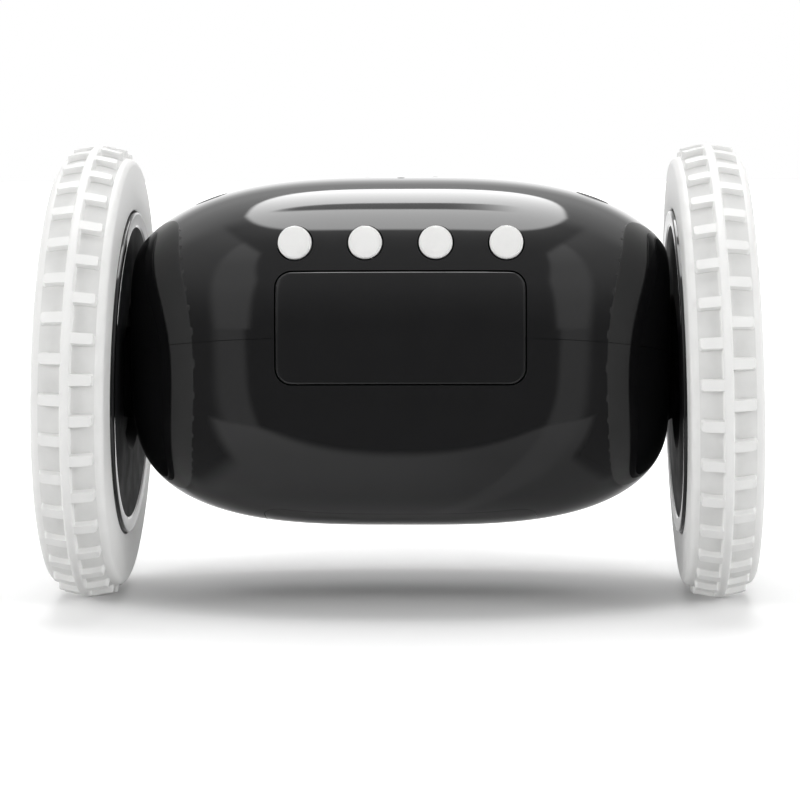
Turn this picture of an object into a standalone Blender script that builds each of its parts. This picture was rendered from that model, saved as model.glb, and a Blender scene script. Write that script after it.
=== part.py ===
"""A rolling alarm clock: a glossy pebble-shaped body between two tyred wheels, each with its own motor.

The axle runs along X, the keys face -Y, the display faces +Y, and the floor is z = 0. Sizes are in metres.
"""

import math

import bmesh
import bpy

MM = 0.001
GAP = 0.3 * MM
RUNNING = 0.08 * MM
MERGE = 0.00001
SEARCH_STEPS = 40

# Stance: both wheels lean in a little at the top, and their middle planes stand off the body's ends
WHEEL_RADIUS = 44.5 * MM
WHEEL_STANDOFF = 9.0 * MM
CAMBER = math.radians(1.6)

# Tyre: a rib round the middle, with a row of lugs on each side of it
TYRE_WIDTH = 13.6 * MM
TYRE_SIDES = 76
SHOULDER_DROP = 2.2 * MM
SIDEWALL_DROP = 3.9 * MM
RIB_WIDTH = 1.8 * MM
RIB_HEIGHT = 1.2 * MM
LUG_PAIRS = 36
LUG_WIDTH = 2.2 * MM
LUG_LENGTH = 4.4 * MM
LUG_DROP = 0.25 * MM
LUG_TAPER = 0.75 * MM
LUG_ROUNDING = 0.9 * MM
LUG_SINK = 0.9 * MM
LEFT_LUG_TURN = math.radians(2.9)
RIGHT_LUG_TURN = math.radians(-1.5)

# Hub
RIM_RADIUS = 31.6 * MM
RIM_WALL = 2.0 * MM
HUB_PROUD = 0.65 * MM
HUB_SIDES = 32
FLANGE_WIDTH = 2.55 * MM
DISC_STEP = 0.35 * MM
WELL_RADIUS = 15.25 * MM
WELL_FLOOR_RADIUS = 13.4 * MM
WELL_DEPTH = 2.0 * MM
WEB = 1.8 * MM
HUB_BOSS_RADIUS = 5.0 * MM
HUB_BOSS_TOP = 1.5 * MM
COVER_WALL = 1.6 * MM
CAP_RADIUS = 6.3 * MM
CAP_PROUD = 0.5 * MM
CAP_CROWN = 0.8 * MM
CAP_SHOULDER_OUT = 0.6
CAP_SHOULDER_UP = 0.7
WHEEL_SCREW_HEAD = 4.2 * MM
WHEEL_SCREW_SHANK = 1.0 * MM
WHEEL_SCREW_LENGTH = 4.0 * MM
WHEEL_SCREW_HEIGHT = 1.6 * MM
SCREW_HEAD_TOP = 0.8

# Body: a pebble with flat ends, in lines that run from its middle to each end
BODY_HALF_LENGTH = 51.5 * MM
CROWN_MIDDLE = 38.35 * MM
CROWN_END = 23.7 * MM
KEEL_MIDDLE = 29.65 * MM
KEEL_END = 10.2 * MM
HALF_DEPTH_MIDDLE = 34.5 * MM
HALF_DEPTH_END = 18.0 * MM
CROWN_SHAPE = (3.1, 1.4)
KEEL_SHAPE = (3.2, 2.1)
DEPTH_SHAPE = (3.0, 1.5)
DEPTH_POWER = 2.6
HEIGHT_POWER = 3.3
WALL = 2.2 * MM
SKIN_RINGS = 8
SKIN_SIDES = 28
CAVITY_RINGS = 5
CAVITY_SIDES = 20
SEAM_TILT = math.radians(15)
SEAM_REACH = 200 * MM
CUT_MARGIN = 10 * MM

# Necks that carry the axles
NECK_RADIUS = 9.0 * MM
NECK_FLARE = 4.0 * MM
NECK_CLEARANCE = 0.45 * MM
BUSH_RADIUS = 4.0 * MM
SHAFT_RADIUS = 2.0 * MM
ROUND_SIDES = 20

# Keys: the snooze key and four set buttons share one slightly upward direction
KEY_TILT = math.radians(8)
KEY_ORIGIN_HEIGHT = 6.2 * MM
SNOOZE_WIDTH = 46.5 * MM
SNOOZE_HEIGHT = 20.9 * MM
SNOOZE_CORNER = 3.0 * MM
SNOOZE_TRAVEL = 0.8 * MM
SNOOZE_FLANGE = 1.2 * MM
SNOOZE_FLANGE_THICKNESS = 0.8 * MM
SNOOZE_WALL = 2.0 * MM
KEY_SHIFT = 0.6 * MM
BUTTON_NAMES = ("hour_button", "minute_button", "alarm_button", "time_button")
BUTTON_RADIUS = 3.12 * MM
BUTTON_SPACING = 13.1 * MM
BUTTON_UP = 15.9 * MM
BUTTON_PROUD = 1.0 * MM
BUTTON_EDGE = 0.5 * MM
BUTTON_TRAVEL = 0.6 * MM
BUTTON_FLANGE_RADIUS = 3.9 * MM
BUTTON_FLANGE_THICKNESS = 0.8 * MM
STEM_RADIUS = 1.6 * MM
KEY_BOARD_OUT = 19.2 * MM
KEY_BOARD_SIZE = (60 * MM, 30 * MM)
KEY_BOARD_UP = 5.0 * MM
BOARD_THICKNESS = 1.6 * MM
BOARD_CORNER = 1.5 * MM
SWITCH_SIZE = 6.0 * MM
SWITCH_HEIGHT = 3.4 * MM
SWITCH_STEM_RADIUS = 1.7 * MM
SWITCH_STEM_HEIGHT = 1.0 * MM
SEAT_CLEARANCE = 1.0 * MM
STANDOFF_RADIUS = 2.2 * MM
STANDOFF_INSET = 3.0 * MM

# Display
DISPLAY_TILT = math.radians(10)
DISPLAY_ORIGIN_HEIGHT = 7.0 * MM
WINDOW_WIDTH = 46 * MM
WINDOW_HEIGHT = 20 * MM
WINDOW_CORNER = 3.0 * MM
LCD_WIDTH = 40 * MM
LCD_HEIGHT = 15.5 * MM
LCD_THICKNESS = 2.4 * MM
LCD_FRAME_BORDER = 3.0 * MM
LCD_FRAME_THICKNESS = 2.6 * MM
MAIN_BOARD_SIZE = (56 * MM, 25 * MM)

# Sound
HOLE_RING_RADIUS = 7.6 * MM
HOLE_RADIUS = 0.75 * MM
HOLES_ROUND = 6
SPEAKER_RADIUS = 11.2 * MM
SPEAKER_RIM = 2.0 * MM
MAGNET_RADIUS = 6.0 * MM
MAGNET_HEIGHT = 3.5 * MM
SPEAKER_SEAT_WALL = 1.8 * MM

# Shell screws under rubber plugs
SCREW_INSET = 14.5 * MM
SCREW_FORWARD = 5.5 * MM
PLUG_RADIUS = 3.0 * MM
PLUG_DEPTH = 1.6 * MM
POST_RADIUS = 3.2 * MM
SHELL_SCREW_SEAT = 8.0 * MM
SHELL_SCREW_HEAD = 2.3 * MM
SHELL_SCREW_SHANK = 1.3 * MM
SHELL_SCREW_LENGTH = 14 * MM
SHELL_SCREW_HEAD_HEIGHT = 1.8 * MM
SMALL_SIDES = 12

# Batteries: four AAA cells side by side, low in the body
CELL_RADIUS = 5.25 * MM
CELL_LENGTH = 43.5 * MM
CELL_NUB_LENGTH = 1.0 * MM
CELL_NUB_RADIUS = 1.9 * MM
CELL_PITCH = 11.1 * MM
CELL_DROP = 18.0 * MM
CELL_FORWARD = 0.3 * MM
CELLS = 4
CELL_SIDES = 16
BATTERY_WALL = 1.2 * MM
CONTACT_THICKNESS = 0.4 * MM
DOOR_HALF_X = 26 * MM
DOOR_HALF_Y = 23.5 * MM
DOOR_CORNER = 4.0 * MM
DOOR_HINGE_RISE = 0.6 * MM
TAB_WIDTH = 7.0 * MM
TAB_THICKNESS = 0.9 * MM
TAB_REACH = 1.4 * MM
TAB_ROOT = 0.4 * MM
TAB_OUT = 14 * MM

# Drive: motor pinion to idler to output gear, in distances inboard of the wheel's middle plane
MODULE = 0.7 * MM
BIG_TEETH = 32
SMALL_TEETH = 8
ADDENDUM = 0.85
DEDENDUM = 1.25
TOOTH_SHARE = 0.40
TIP_SHARE = 0.20
ROOT_FLARE = 1.3
MOTOR_BACK = 6.5 * MM
MOTOR_RADIUS = 10 * MM
MOTOR_HALF_FLAT = 7.5 * MM
MOTOR_ARC_STEPS = 6
MOTOR_LENGTH = 25 * MM
MOTOR_SHAFT_RADIUS = 1.0 * MM
MOTOR_SHAFT_DEPTH = 5.0 * MM
PLATE_THICKNESS = 1.2 * MM
GEAR_THICKNESS = 1.6 * MM
GEAR_CLEARANCE = 0.45 * MM
OUTPUT_GEAR_THICKNESS = 1.8 * MM
PIN_RADIUS = 1.0 * MM
FRAME_CLEARANCE = 0.9 * MM
PILLAR_RADIUS = 1.3 * MM
PLATE_CORNER = 5.0 * MM
INNER_PLATE_SIZE = (27 * MM, 30 * MM)
INNER_PLATE_UP = 4.8 * MM
INNER_PLATE_BACK = -0.5 * MM
OUTER_PLATE_SIZE = (23 * MM, 24 * MM)
OUTER_PLATE_UP = 4.5 * MM
OUTER_PLATE_BACK = -2.6 * MM
PILLARS = ((9.5 * MM, -10.5 * MM), (-4 * MM, -13 * MM))

# What follows from the sizes above
FACET = math.pi / TYRE_SIDES
TYRE_BORE = RIM_RADIUS + GAP
CROWN_RADIUS = WHEEL_RADIUS - RIB_HEIGHT
SHOULDER_RADIUS = WHEEL_RADIUS - SHOULDER_DROP
SIDEWALL_TOP = WHEEL_RADIUS - SIDEWALL_DROP
LUG_TOP_RADIUS = WHEEL_RADIUS - LUG_DROP
AXLE_HEIGHT = WHEEL_RADIUS * math.cos(FACET) * math.cos(CAMBER) + RIB_WIDTH / 2 * math.sin(CAMBER)
HUB_HALF = TYRE_WIDTH / 2 + HUB_PROUD
WELL_FLOOR = -HUB_HALF + DISC_STEP + WELL_DEPTH
HALF_TRACK = BODY_HALF_LENGTH + WHEEL_STANDOFF
SCREW_OUT = BODY_HALF_LENGTH - SCREW_INSET
BODY_END = -WHEEL_STANDOFF
NECK_END = WELL_FLOOR - NECK_CLEARANCE
CAVITY_END = BODY_END - WALL
CENTRE_DISTANCE = MODULE * (BIG_TEETH + SMALL_TEETH) / 2
IDLER_BACK = MOTOR_BACK / 2
IDLER_UP = math.sqrt(CENTRE_DISTANCE**2 - IDLER_BACK**2)
OUTER_PLATE_TOP = CAVITY_END - FRAME_CLEARANCE
OUTPUT_GEAR_TOP = OUTER_PLATE_TOP - PLATE_THICKNESS - GEAR_CLEARANCE
IDLER_GEAR_TOP = OUTPUT_GEAR_TOP - OUTPUT_GEAR_THICKNESS - GEAR_CLEARANCE
INNER_PLATE_TOP = IDLER_GEAR_TOP - GEAR_THICKNESS - GEAR_CLEARANCE
MOTOR_TOP = INNER_PLATE_TOP - PLATE_THICKNESS - GAP
SWITCH_TIP = KEY_BOARD_OUT + SWITCH_HEIGHT + SWITCH_STEM_HEIGHT
CELL_ROW_HALF = CELL_PITCH * (CELLS - 1) / 2 + CELL_RADIUS


# Collections, materials and placing

def new_collection(name, is_helper):
    made = bpy.data.collections.new(name)
    bpy.context.scene.collection.children.link(made)
    made.hide_render = is_helper
    return made


for old in list(bpy.data.objects):
    bpy.data.objects.remove(old)
CLOCK = new_collection("rolling_alarm_clock", False)
HELPERS = new_collection("cutters", True)


def paint(name, colour, roughness, metallic=0.0):
    made = bpy.data.materials.new(name)
    made.use_nodes = True
    shader = made.node_tree.nodes["Principled BSDF"]
    shader.inputs["Base Color"].default_value = (*colour, 1)
    shader.inputs["Roughness"].default_value = roughness
    shader.inputs["Metallic"].default_value = metallic
    return made


BLACK_GLOSS = paint("black_gloss", (0.012, 0.012, 0.013), 0.12)
WHITE_RUBBER = paint("white_rubber", (0.80, 0.80, 0.79), 0.5)
WHITE_PLASTIC = paint("white_plastic", (0.83, 0.83, 0.82), 0.4)
GREY_RUBBER = paint("grey_rubber", (0.07, 0.07, 0.07), 0.75)
NATURAL_PLASTIC = paint("natural_plastic", (0.72, 0.70, 0.64), 0.45)
DARK_PLASTIC = paint("dark_plastic", (0.03, 0.03, 0.03), 0.5)
STEEL = paint("steel", (0.62, 0.62, 0.62), 0.3, 1.0)
BRASS = paint("brass", (0.72, 0.55, 0.26), 0.35, 1.0)
BOARD_GREEN = paint("board_green", (0.02, 0.14, 0.06), 0.45)
LCD_GREY = paint("lcd_grey", (0.42, 0.45, 0.38), 0.25)
CLEAR_PLASTIC = paint("clear_plastic", (0.05, 0.05, 0.055), 0.05)
CELL_BLUE = paint("cell_wrap", (0.05, 0.10, 0.22), 0.35)


def place(piece, frame=None, location=(0, 0, 0), turn=0.0, material=None, helper=False):
    """Puts a piece in a frame, moved and turned about the frame's Z, in the clock or among the helpers."""
    group = HELPERS if helper else CLOCK
    for holder in list(piece.users_collection):
        holder.objects.unlink(piece)
    group.objects.link(piece)
    piece.parent = frame
    piece.location = location
    piece.rotation_euler.z += turn
    if helper:
        piece.display_type = "WIRE"
    if material:
        piece.data.materials.clear()
        piece.data.materials.append(material)
    return piece


def frame_at(name, location, rotation):
    made = bpy.data.objects.new(name, None)
    made.empty_display_size = 0.01
    CLOCK.objects.link(made)
    made.location = location
    made.rotation_euler = rotation
    return made


# Shapes

def turned(name, outline, sides):
    """Spins an outline of (radius, height) points about Z. It runs down the outside and up the inside."""
    opens_on_axis = outline[0][0] == 0
    count = len(outline)
    edges = [(i, (i + 1) % count) for i in range(count - opens_on_axis)]
    mesh = bpy.data.meshes.new(name)
    mesh.from_pydata([(radius, 0, height) for radius, height in outline], edges, [])
    piece = bpy.data.objects.new(name, mesh)
    bpy.context.scene.collection.objects.link(piece)
    screw = piece.modifiers.new("Turn", "SCREW")
    screw.steps = screw.render_steps = sides
    screw.use_merge_vertices = True
    screw.merge_threshold = MERGE
    screw.use_smooth_shade = False
    return piece


def rod(name, radius, low, high, sides=ROUND_SIDES):
    bpy.ops.mesh.primitive_cylinder_add(vertices=sides, radius=radius, depth=high - low)
    piece = bpy.context.object
    piece.name = name
    for vertex in piece.data.vertices:
        vertex.co.z += (high + low) / 2
    return piece


def box(name, low, high):
    """A box between two corners."""
    bpy.ops.mesh.primitive_cube_add(size=1)
    piece = bpy.context.object
    piece.name = name
    for vertex in piece.data.vertices:
        for axis in range(3):
            vertex.co[axis] = low[axis] if vertex.co[axis] < 0 else high[axis]
    return piece


def plate(name, outline, low, high):
    """A flat outline made as thick as low to high along Z."""
    curve = bpy.data.curves.new(name, "CURVE")
    curve.dimensions = "2D"
    curve.fill_mode = "BOTH"
    curve.extrude = (high - low) / 2
    spline = curve.splines.new("POLY")
    spline.points.add(len(outline) - 1)
    for point, (x, y) in zip(spline.points, outline):
        point.co = (x, y, 0, 1)
    spline.use_cyclic_u = True
    guide = bpy.data.objects.new(name, curve)
    bpy.context.scene.collection.objects.link(guide)
    mesh = bpy.data.meshes.new_from_object(guide.evaluated_get(bpy.context.evaluated_depsgraph_get()))
    bpy.data.objects.remove(guide)
    shape = bmesh.new()
    shape.from_mesh(mesh)
    bmesh.ops.remove_doubles(shape, verts=shape.verts, dist=MERGE)
    bmesh.ops.translate(shape, verts=shape.verts, vec=(0, 0, (high + low) / 2))
    bmesh.ops.recalc_face_normals(shape, faces=shape.faces)
    shape.to_mesh(mesh)
    shape.free()
    piece = bpy.data.objects.new(name, mesh)
    bpy.context.scene.collection.objects.link(piece)
    return piece


def rounded(width, height, radius, centre=(0, 0), steps=4):
    """The outline of a rectangle with round corners."""
    points = []
    for corner, (x_side, y_side) in enumerate(((1, 1), (-1, 1), (-1, -1), (1, -1))):
        for step in range(steps + 1):
            angle = math.pi / 2 * (corner + step / steps)
            x = x_side * (width / 2 - radius) + radius * math.cos(angle)
            y = y_side * (height / 2 - radius) + radius * math.sin(angle)
            points.append((centre[0] + x, centre[1] + y))
    return points


def combine(piece, other, operation):
    change = piece.modifiers.new(operation.title(), "BOOLEAN")
    change.operation = operation
    change.object = other
    change.solver = "EXACT"


# Body form

def swell(share, end, middle, shape):
    """A line from `middle` at the centre of the body to `end` at its flat end."""
    squareness, fullness = shape
    return end + (middle - end) * (1 - share**squareness) ** (1 / fullness)


def section(share, inset):
    """Half depth, half height and centre height over the axle of the body's section."""
    crown = swell(share, CROWN_END, CROWN_MIDDLE, CROWN_SHAPE) - inset
    keel = swell(share, KEEL_END, KEEL_MIDDLE, KEEL_SHAPE) - inset
    half_depth = swell(share, HALF_DEPTH_END, HALF_DEPTH_MIDDLE, DEPTH_SHAPE) - inset
    return half_depth, (crown + keel) / 2, (crown - keel) / 2


def signed_power(value, power):
    return math.copysign(abs(value) ** power, value)


def body_form(name, inset, rings, sides):
    """The pebble, or with an inset its hollow, lofted through sections from end to end."""
    shape = bmesh.new()
    loops = []
    for ring in range(-rings, rings + 1):
        share = math.sin(math.pi / 2 * ring / rings)
        half_depth, half_height, centre = section(abs(share), inset)
        loop = []
        for side in range(sides):
            angle = 2 * math.pi * side / sides
            y = half_depth * signed_power(math.cos(angle), 2 / DEPTH_POWER)
            z = half_height * signed_power(math.sin(angle), 2 / HEIGHT_POWER)
            x = share * (BODY_HALF_LENGTH - inset)
            loop.append(shape.verts.new((x, y, AXLE_HEIGHT + centre + z)))
        loops.append(loop)
    for before, after in zip(loops, loops[1:]):
        for side in range(sides):
            following = (side + 1) % sides
            shape.faces.new((before[side], before[following], after[following], after[side]))
    shape.faces.new(loops[0])
    shape.faces.new(loops[-1])
    bmesh.ops.recalc_face_normals(shape, faces=shape.faces)
    mesh = bpy.data.meshes.new(name)
    shape.to_mesh(mesh)
    shape.free()
    piece = bpy.data.objects.new(name, mesh)
    bpy.context.scene.collection.objects.link(piece)
    return place(piece, helper=True)


def reach(x, up, tilt, origin_height, inset=0.0):
    """How far out the body's surface lies along a direction tilted up by `tilt`, seen from a face frame."""
    half_depth, half_height, centre = section(abs(x) / (BODY_HALF_LENGTH - inset), inset)
    near = 0.0
    far = 2 * BODY_HALF_LENGTH
    for _ in range(SEARCH_STEPS):
        out = (near + far) / 2
        y = abs(out * math.cos(tilt) - up * math.sin(tilt)) / half_depth
        z = abs(origin_height + out * math.sin(tilt) + up * math.cos(tilt) - centre) / half_height
        if y**DEPTH_POWER + z**HEIGHT_POWER < 1:
            near = out
        else:
            far = out
    return near


def crown_height(x, y, inset=0.0):
    """Height over the axle of the body's top at a place."""
    half_depth, half_height, centre = section(abs(x) / (BODY_HALF_LENGTH - inset), inset)
    return centre + half_height * (1 - (abs(y) / half_depth) ** DEPTH_POWER) ** (1 / HEIGHT_POWER)


def keel_height(x, y, inset=0.0):
    half_depth, half_height, centre = section(abs(x) / (BODY_HALF_LENGTH - inset), inset)
    return centre - half_height * (1 - (abs(y) / half_depth) ** DEPTH_POWER) ** (1 / HEIGHT_POWER)


KEY_FRAME = frame_at("key_frame", (0, 0, AXLE_HEIGHT + KEY_ORIGIN_HEIGHT), (math.pi / 2 - KEY_TILT, 0, 0))
DISPLAY_FRAME = frame_at(
    "display_frame",
    (0, 0, AXLE_HEIGHT + DISPLAY_ORIGIN_HEIGHT),
    (math.pi / 2 - DISPLAY_TILT, 0, math.pi),
)
AXLE_LEVEL = frame_at("axle_level", (0, 0, AXLE_HEIGHT), (0, 0, 0))
SIDES = {"left": -1, "right": 1}
WHEEL_FRAMES = {
    word: frame_at(
        f"{word}_wheel_frame",
        (side * HALF_TRACK, 0, AXLE_HEIGHT),
        (0, side * (math.pi / 2 - CAMBER), 0),
    )
    for word, side in SIDES.items()
}
SKIN = body_form("body_skin", 0, SKIN_RINGS, SKIN_SIDES)
CAVITY = body_form("body_cavity", WALL, CAVITY_RINGS, CAVITY_SIDES)
FAR_OUT = HALF_DEPTH_MIDDLE + CUT_MARGIN


def key_reach(x, up, inset=0.0):
    return reach(x, up, KEY_TILT, KEY_ORIGIN_HEIGHT, inset)


def display_reach(x, up, inset=0.0):
    return reach(x, up, DISPLAY_TILT, DISPLAY_ORIGIN_HEIGHT, inset)


def least_reach(reach_of, x, ups):
    """How far out something flat may lie behind the wall, as wide as x and between two heights."""
    return min(reach_of(x, up, WALL) for up in ups) - SEAT_CLEARANCE


SNOOZE_EDGE_X = KEY_SHIFT + SNOOZE_WIDTH / 2 + SNOOZE_FLANGE
SNOOZE_EDGE_UP = SNOOZE_HEIGHT / 2 + SNOOZE_FLANGE
SNOOZE_FLANGE_TOP = least_reach(key_reach, SNOOZE_EDGE_X, (-SNOOZE_EDGE_UP, SNOOZE_EDGE_UP))
BUTTON_FACE = key_reach(0, BUTTON_UP, 0) + BUTTON_PROUD
BUTTON_EDGE_X = KEY_SHIFT + 1.5 * BUTTON_SPACING + BUTTON_FLANGE_RADIUS
BUTTON_FLANGE_TOP = least_reach(key_reach, BUTTON_EDGE_X, (BUTTON_UP, BUTTON_UP + BUTTON_FLANGE_RADIUS))
BUTTON_XS = [KEY_SHIFT + BUTTON_SPACING * (place_in_row - 1.5) for place_in_row in range(4)]


# Shells

def stay_solid(piece):
    """Leaves a post or ring standing in the body by taking it out of the hollow."""
    combine(CAVITY, piece, "DIFFERENCE")


def posts_and_seats():
    """Screw posts, board standoffs and the ring that the speaker sits on."""
    for side in (-1, 1):
        post = rod("post_shape", POST_RADIUS, -SEAM_REACH / 2, SEAM_REACH / 2, SMALL_SIDES)
        stay_solid(place(post, AXLE_LEVEL, (side * SCREW_OUT, -SCREW_FORWARD, 0), helper=True))
        key_out = KEY_BOARD_SIZE[0] / 2 - STANDOFF_INSET
        standoff = rod("key_standoff_shape", STANDOFF_RADIUS, KEY_BOARD_OUT + GAP, FAR_OUT, SMALL_SIDES)
        stay_solid(place(standoff, KEY_FRAME, (KEY_SHIFT + side * key_out, KEY_BOARD_UP, 0), helper=True))
        main_out = MAIN_BOARD_SIZE[0] / 2 - STANDOFF_INSET
        standoff = rod("main_standoff_shape", STANDOFF_RADIUS, MAIN_BOARD_TOP + GAP, FAR_OUT, SMALL_SIDES)
        stay_solid(place(standoff, DISPLAY_FRAME, (side * main_out, 0, 0), helper=True))
    outer = SPEAKER_RADIUS + SPEAKER_SEAT_WALL / 2
    inner = SPEAKER_RADIUS - SPEAKER_SEAT_WALL / 2
    ring = [(outer, FAR_OUT), (outer, SPEAKER_TOP + GAP), (inner, SPEAKER_TOP + GAP), (inner, FAR_OUT)]
    stay_solid(place(turned("speaker_seat_shape", ring, ROUND_SIDES), AXLE_LEVEL, helper=True))


def add_necks(shell):
    """Flared necks at both ends, each bored for its axle bush."""
    for frame in WHEEL_FRAMES.values():
        neck = [
            (0, NECK_END),
            (NECK_RADIUS, NECK_END),
            (NECK_RADIUS, BODY_END + NECK_FLARE / 3),
            (NECK_RADIUS + NECK_FLARE / 4, BODY_END + NECK_FLARE / 8),
            (NECK_RADIUS + NECK_FLARE, BODY_END - WALL / 2),
            (0, BODY_END - WALL / 2),
        ]
        combine(shell, place(turned("neck_shape", neck, ROUND_SIDES), frame, helper=True), "UNION")


def bore_necks(shell):
    for frame in WHEEL_FRAMES.values():
        bore = rod("neck_bore_shape", BUSH_RADIUS + GAP, CAVITY_END - WALL, HUB_HALF)
        combine(shell, place(bore, frame, helper=True), "DIFFERENCE")


def cut_front(shell):
    """The snooze key's opening and the four button holes."""
    opening = rounded(SNOOZE_WIDTH + 2 * GAP, SNOOZE_HEIGHT + 2 * GAP, SNOOZE_CORNER + GAP)
    cutter = plate("snooze_opening", opening, KEY_BOARD_OUT, FAR_OUT)
    combine(shell, place(cutter, KEY_FRAME, (KEY_SHIFT, 0, 0), helper=True), "DIFFERENCE")
    for x in BUTTON_XS:
        cutter = rod("button_hole", BUTTON_RADIUS + GAP, KEY_BOARD_OUT, FAR_OUT, SMALL_SIDES * 2)
        combine(shell, place(cutter, KEY_FRAME, (x, BUTTON_UP, 0), helper=True), "DIFFERENCE")


def cut_back(shell):
    opening = rounded(WINDOW_WIDTH + 2 * GAP, WINDOW_HEIGHT + 2 * GAP, WINDOW_CORNER + GAP)
    cutter = plate("window_opening", opening, KEY_BOARD_OUT, FAR_OUT)
    combine(shell, place(cutter, DISPLAY_FRAME, helper=True), "DIFFERENCE")


def cut_top(shell):
    """A ring of sound holes with one in its middle, and the stepped wells of the two shell screws."""
    places = [(0, 0)]
    for hole in range(HOLES_ROUND):
        angle = math.radians(-90) + 2 * math.pi * hole / HOLES_ROUND
        places.append((HOLE_RING_RADIUS * math.cos(angle), HOLE_RING_RADIUS * math.sin(angle)))
    for x, y in places:
        cutter = rod("sound_hole", HOLE_RADIUS, SPEAKER_TOP, FAR_OUT, 8)
        combine(shell, place(cutter, AXLE_LEVEL, (x, y, 0), helper=True), "DIFFERENCE")
    for side in (-1, 1):
        head = SHELL_SCREW_HEAD + GAP
        shank = SHELL_SCREW_SHANK + GAP
        foot = SHELL_SCREW_SEAT - SHELL_SCREW_LENGTH - 2 * GAP
        well = [
            (0, FAR_OUT + CROWN_MIDDLE),
            (PLUG_RADIUS + GAP, FAR_OUT + CROWN_MIDDLE),
            (PLUG_RADIUS + GAP, PLUG_FLOOR),
            (head, PLUG_FLOOR),
            (head, SHELL_SCREW_SEAT),
            (shank, SHELL_SCREW_SEAT),
            (shank, foot),
            (0, foot),
        ]
        cutter = turned("screw_well", well, ROUND_SIDES)
        place(cutter, AXLE_LEVEL, (side * SCREW_OUT, -SCREW_FORWARD, 0), helper=True)
        combine(shell, cutter, "DIFFERENCE")


def cut_bottom(shell):
    opening = rounded(2 * (DOOR_HALF_X + GAP), 2 * (DOOR_HALF_Y + GAP), DOOR_CORNER + GAP)
    cutter = plate("door_opening", opening, -FAR_OUT, -CELL_DROP)
    combine(shell, place(cutter, AXLE_LEVEL, helper=True), "DIFFERENCE")


TAB_TOP = keel_height(TAB_OUT + TAB_WIDTH / 2, DOOR_HALF_Y + TAB_REACH, WALL) + 3 * GAP + TAB_THICKNESS
PLUG_FLOOR = crown_height(SCREW_OUT + PLUG_RADIUS, SCREW_FORWARD) - PLUG_DEPTH
SPEAKER_TOP = crown_height(0, SPEAKER_RADIUS + SPEAKER_SEAT_WALL, WALL) - SEAT_CLEARANCE
LCD_EDGE_UP = LCD_HEIGHT / 2 + LCD_FRAME_BORDER
LCD_FRONT = least_reach(display_reach, LCD_WIDTH / 2 + LCD_FRAME_BORDER, (-LCD_EDGE_UP, LCD_EDGE_UP))
LCD_FRAME_BACK = LCD_FRONT - LCD_FRAME_THICKNESS
MAIN_BOARD_TOP = LCD_FRAME_BACK - GAP


def build_shells():
    """Cuts one hollow body along a seam that tilts up towards the keys, into an upper and a lower shell."""
    posts_and_seats()
    shell = body_form("whole_shell", 0, SKIN_RINGS, SKIN_SIDES)
    add_necks(shell)
    combine(shell, CAVITY, "DIFFERENCE")
    bore_necks(shell)
    cut_front(shell)
    cut_back(shell)
    cut_top(shell)
    cut_bottom(shell)
    for name, low, high in (("upper_shell", GAP / 2, SEAM_REACH), ("lower_shell", -SEAM_REACH, -GAP / 2)):
        half = box(name, (-SEAM_REACH, -SEAM_REACH, low), (SEAM_REACH, SEAM_REACH, high))
        place(half, AXLE_LEVEL, material=BLACK_GLOSS)
        half.rotation_euler.x = -SEAM_TILT
        combine(half, shell, "INTERSECT")
    for side, word in ((-1, "left"), (1, "right")):
        where = (side * SCREW_OUT, -SCREW_FORWARD, 0)
        plug = rod(f"{word}_screw_plug", PLUG_RADIUS, PLUG_FLOOR + GAP, FAR_OUT)
        place(plug, AXLE_LEVEL, where, material=GREY_RUBBER)
        combine(plug, SKIN, "INTERSECT")
        top = SHELL_SCREW_SEAT + GAP + SHELL_SCREW_HEAD_HEIGHT
        outline = [
            (0, top),
            (SHELL_SCREW_HEAD * SCREW_HEAD_TOP, top),
            (SHELL_SCREW_HEAD, SHELL_SCREW_SEAT + GAP),
            (SHELL_SCREW_SHANK, SHELL_SCREW_SEAT + GAP),
            (SHELL_SCREW_SHANK, SHELL_SCREW_SEAT - SHELL_SCREW_LENGTH),
            (0, SHELL_SCREW_SEAT - SHELL_SCREW_LENGTH),
        ]
        place(turned(f"{word}_shell_screw", outline, SMALL_SIDES), AXLE_LEVEL, where, material=STEEL)


# Keys and their board

def build_snooze_key():
    """A key flush with the body, with a flange behind the opening and a stem over its switch."""
    name = "snooze_key"
    back = SNOOZE_FLANGE_TOP - SNOOZE_FLANGE_THICKNESS
    face = plate(name, rounded(SNOOZE_WIDTH, SNOOZE_HEIGHT, SNOOZE_CORNER), back, FAR_OUT)
    place(face, KEY_FRAME, (KEY_SHIFT, 0, 0), material=BLACK_GLOSS)
    combine(face, SKIN, "INTERSECT")
    wide = rounded(SNOOZE_WIDTH + 2 * SNOOZE_FLANGE, SNOOZE_HEIGHT + 2 * SNOOZE_FLANGE, SNOOZE_CORNER)
    flange = plate("snooze_flange", wide, back, SNOOZE_FLANGE_TOP)
    combine(face, place(flange, KEY_FRAME, (KEY_SHIFT, 0, 0), helper=True), "UNION")
    pocket_outline = rounded(SNOOZE_WIDTH - 2 * SNOOZE_WALL, SNOOZE_HEIGHT - 2 * SNOOZE_WALL, SNOOZE_CORNER)
    pocket_floor = SNOOZE_FLANGE_TOP + SNOOZE_WALL / 2
    pocket = plate("snooze_pocket", pocket_outline, KEY_BOARD_OUT, pocket_floor)
    combine(face, place(pocket, KEY_FRAME, (KEY_SHIFT, 0, 0), helper=True), "DIFFERENCE")
    stem = rod("snooze_stem", STEM_RADIUS, SWITCH_TIP + GAP + SNOOZE_TRAVEL, pocket_floor + GAP, SMALL_SIDES)
    combine(face, place(stem, KEY_FRAME, (KEY_SHIFT, 0, 0), helper=True), "UNION")


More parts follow.
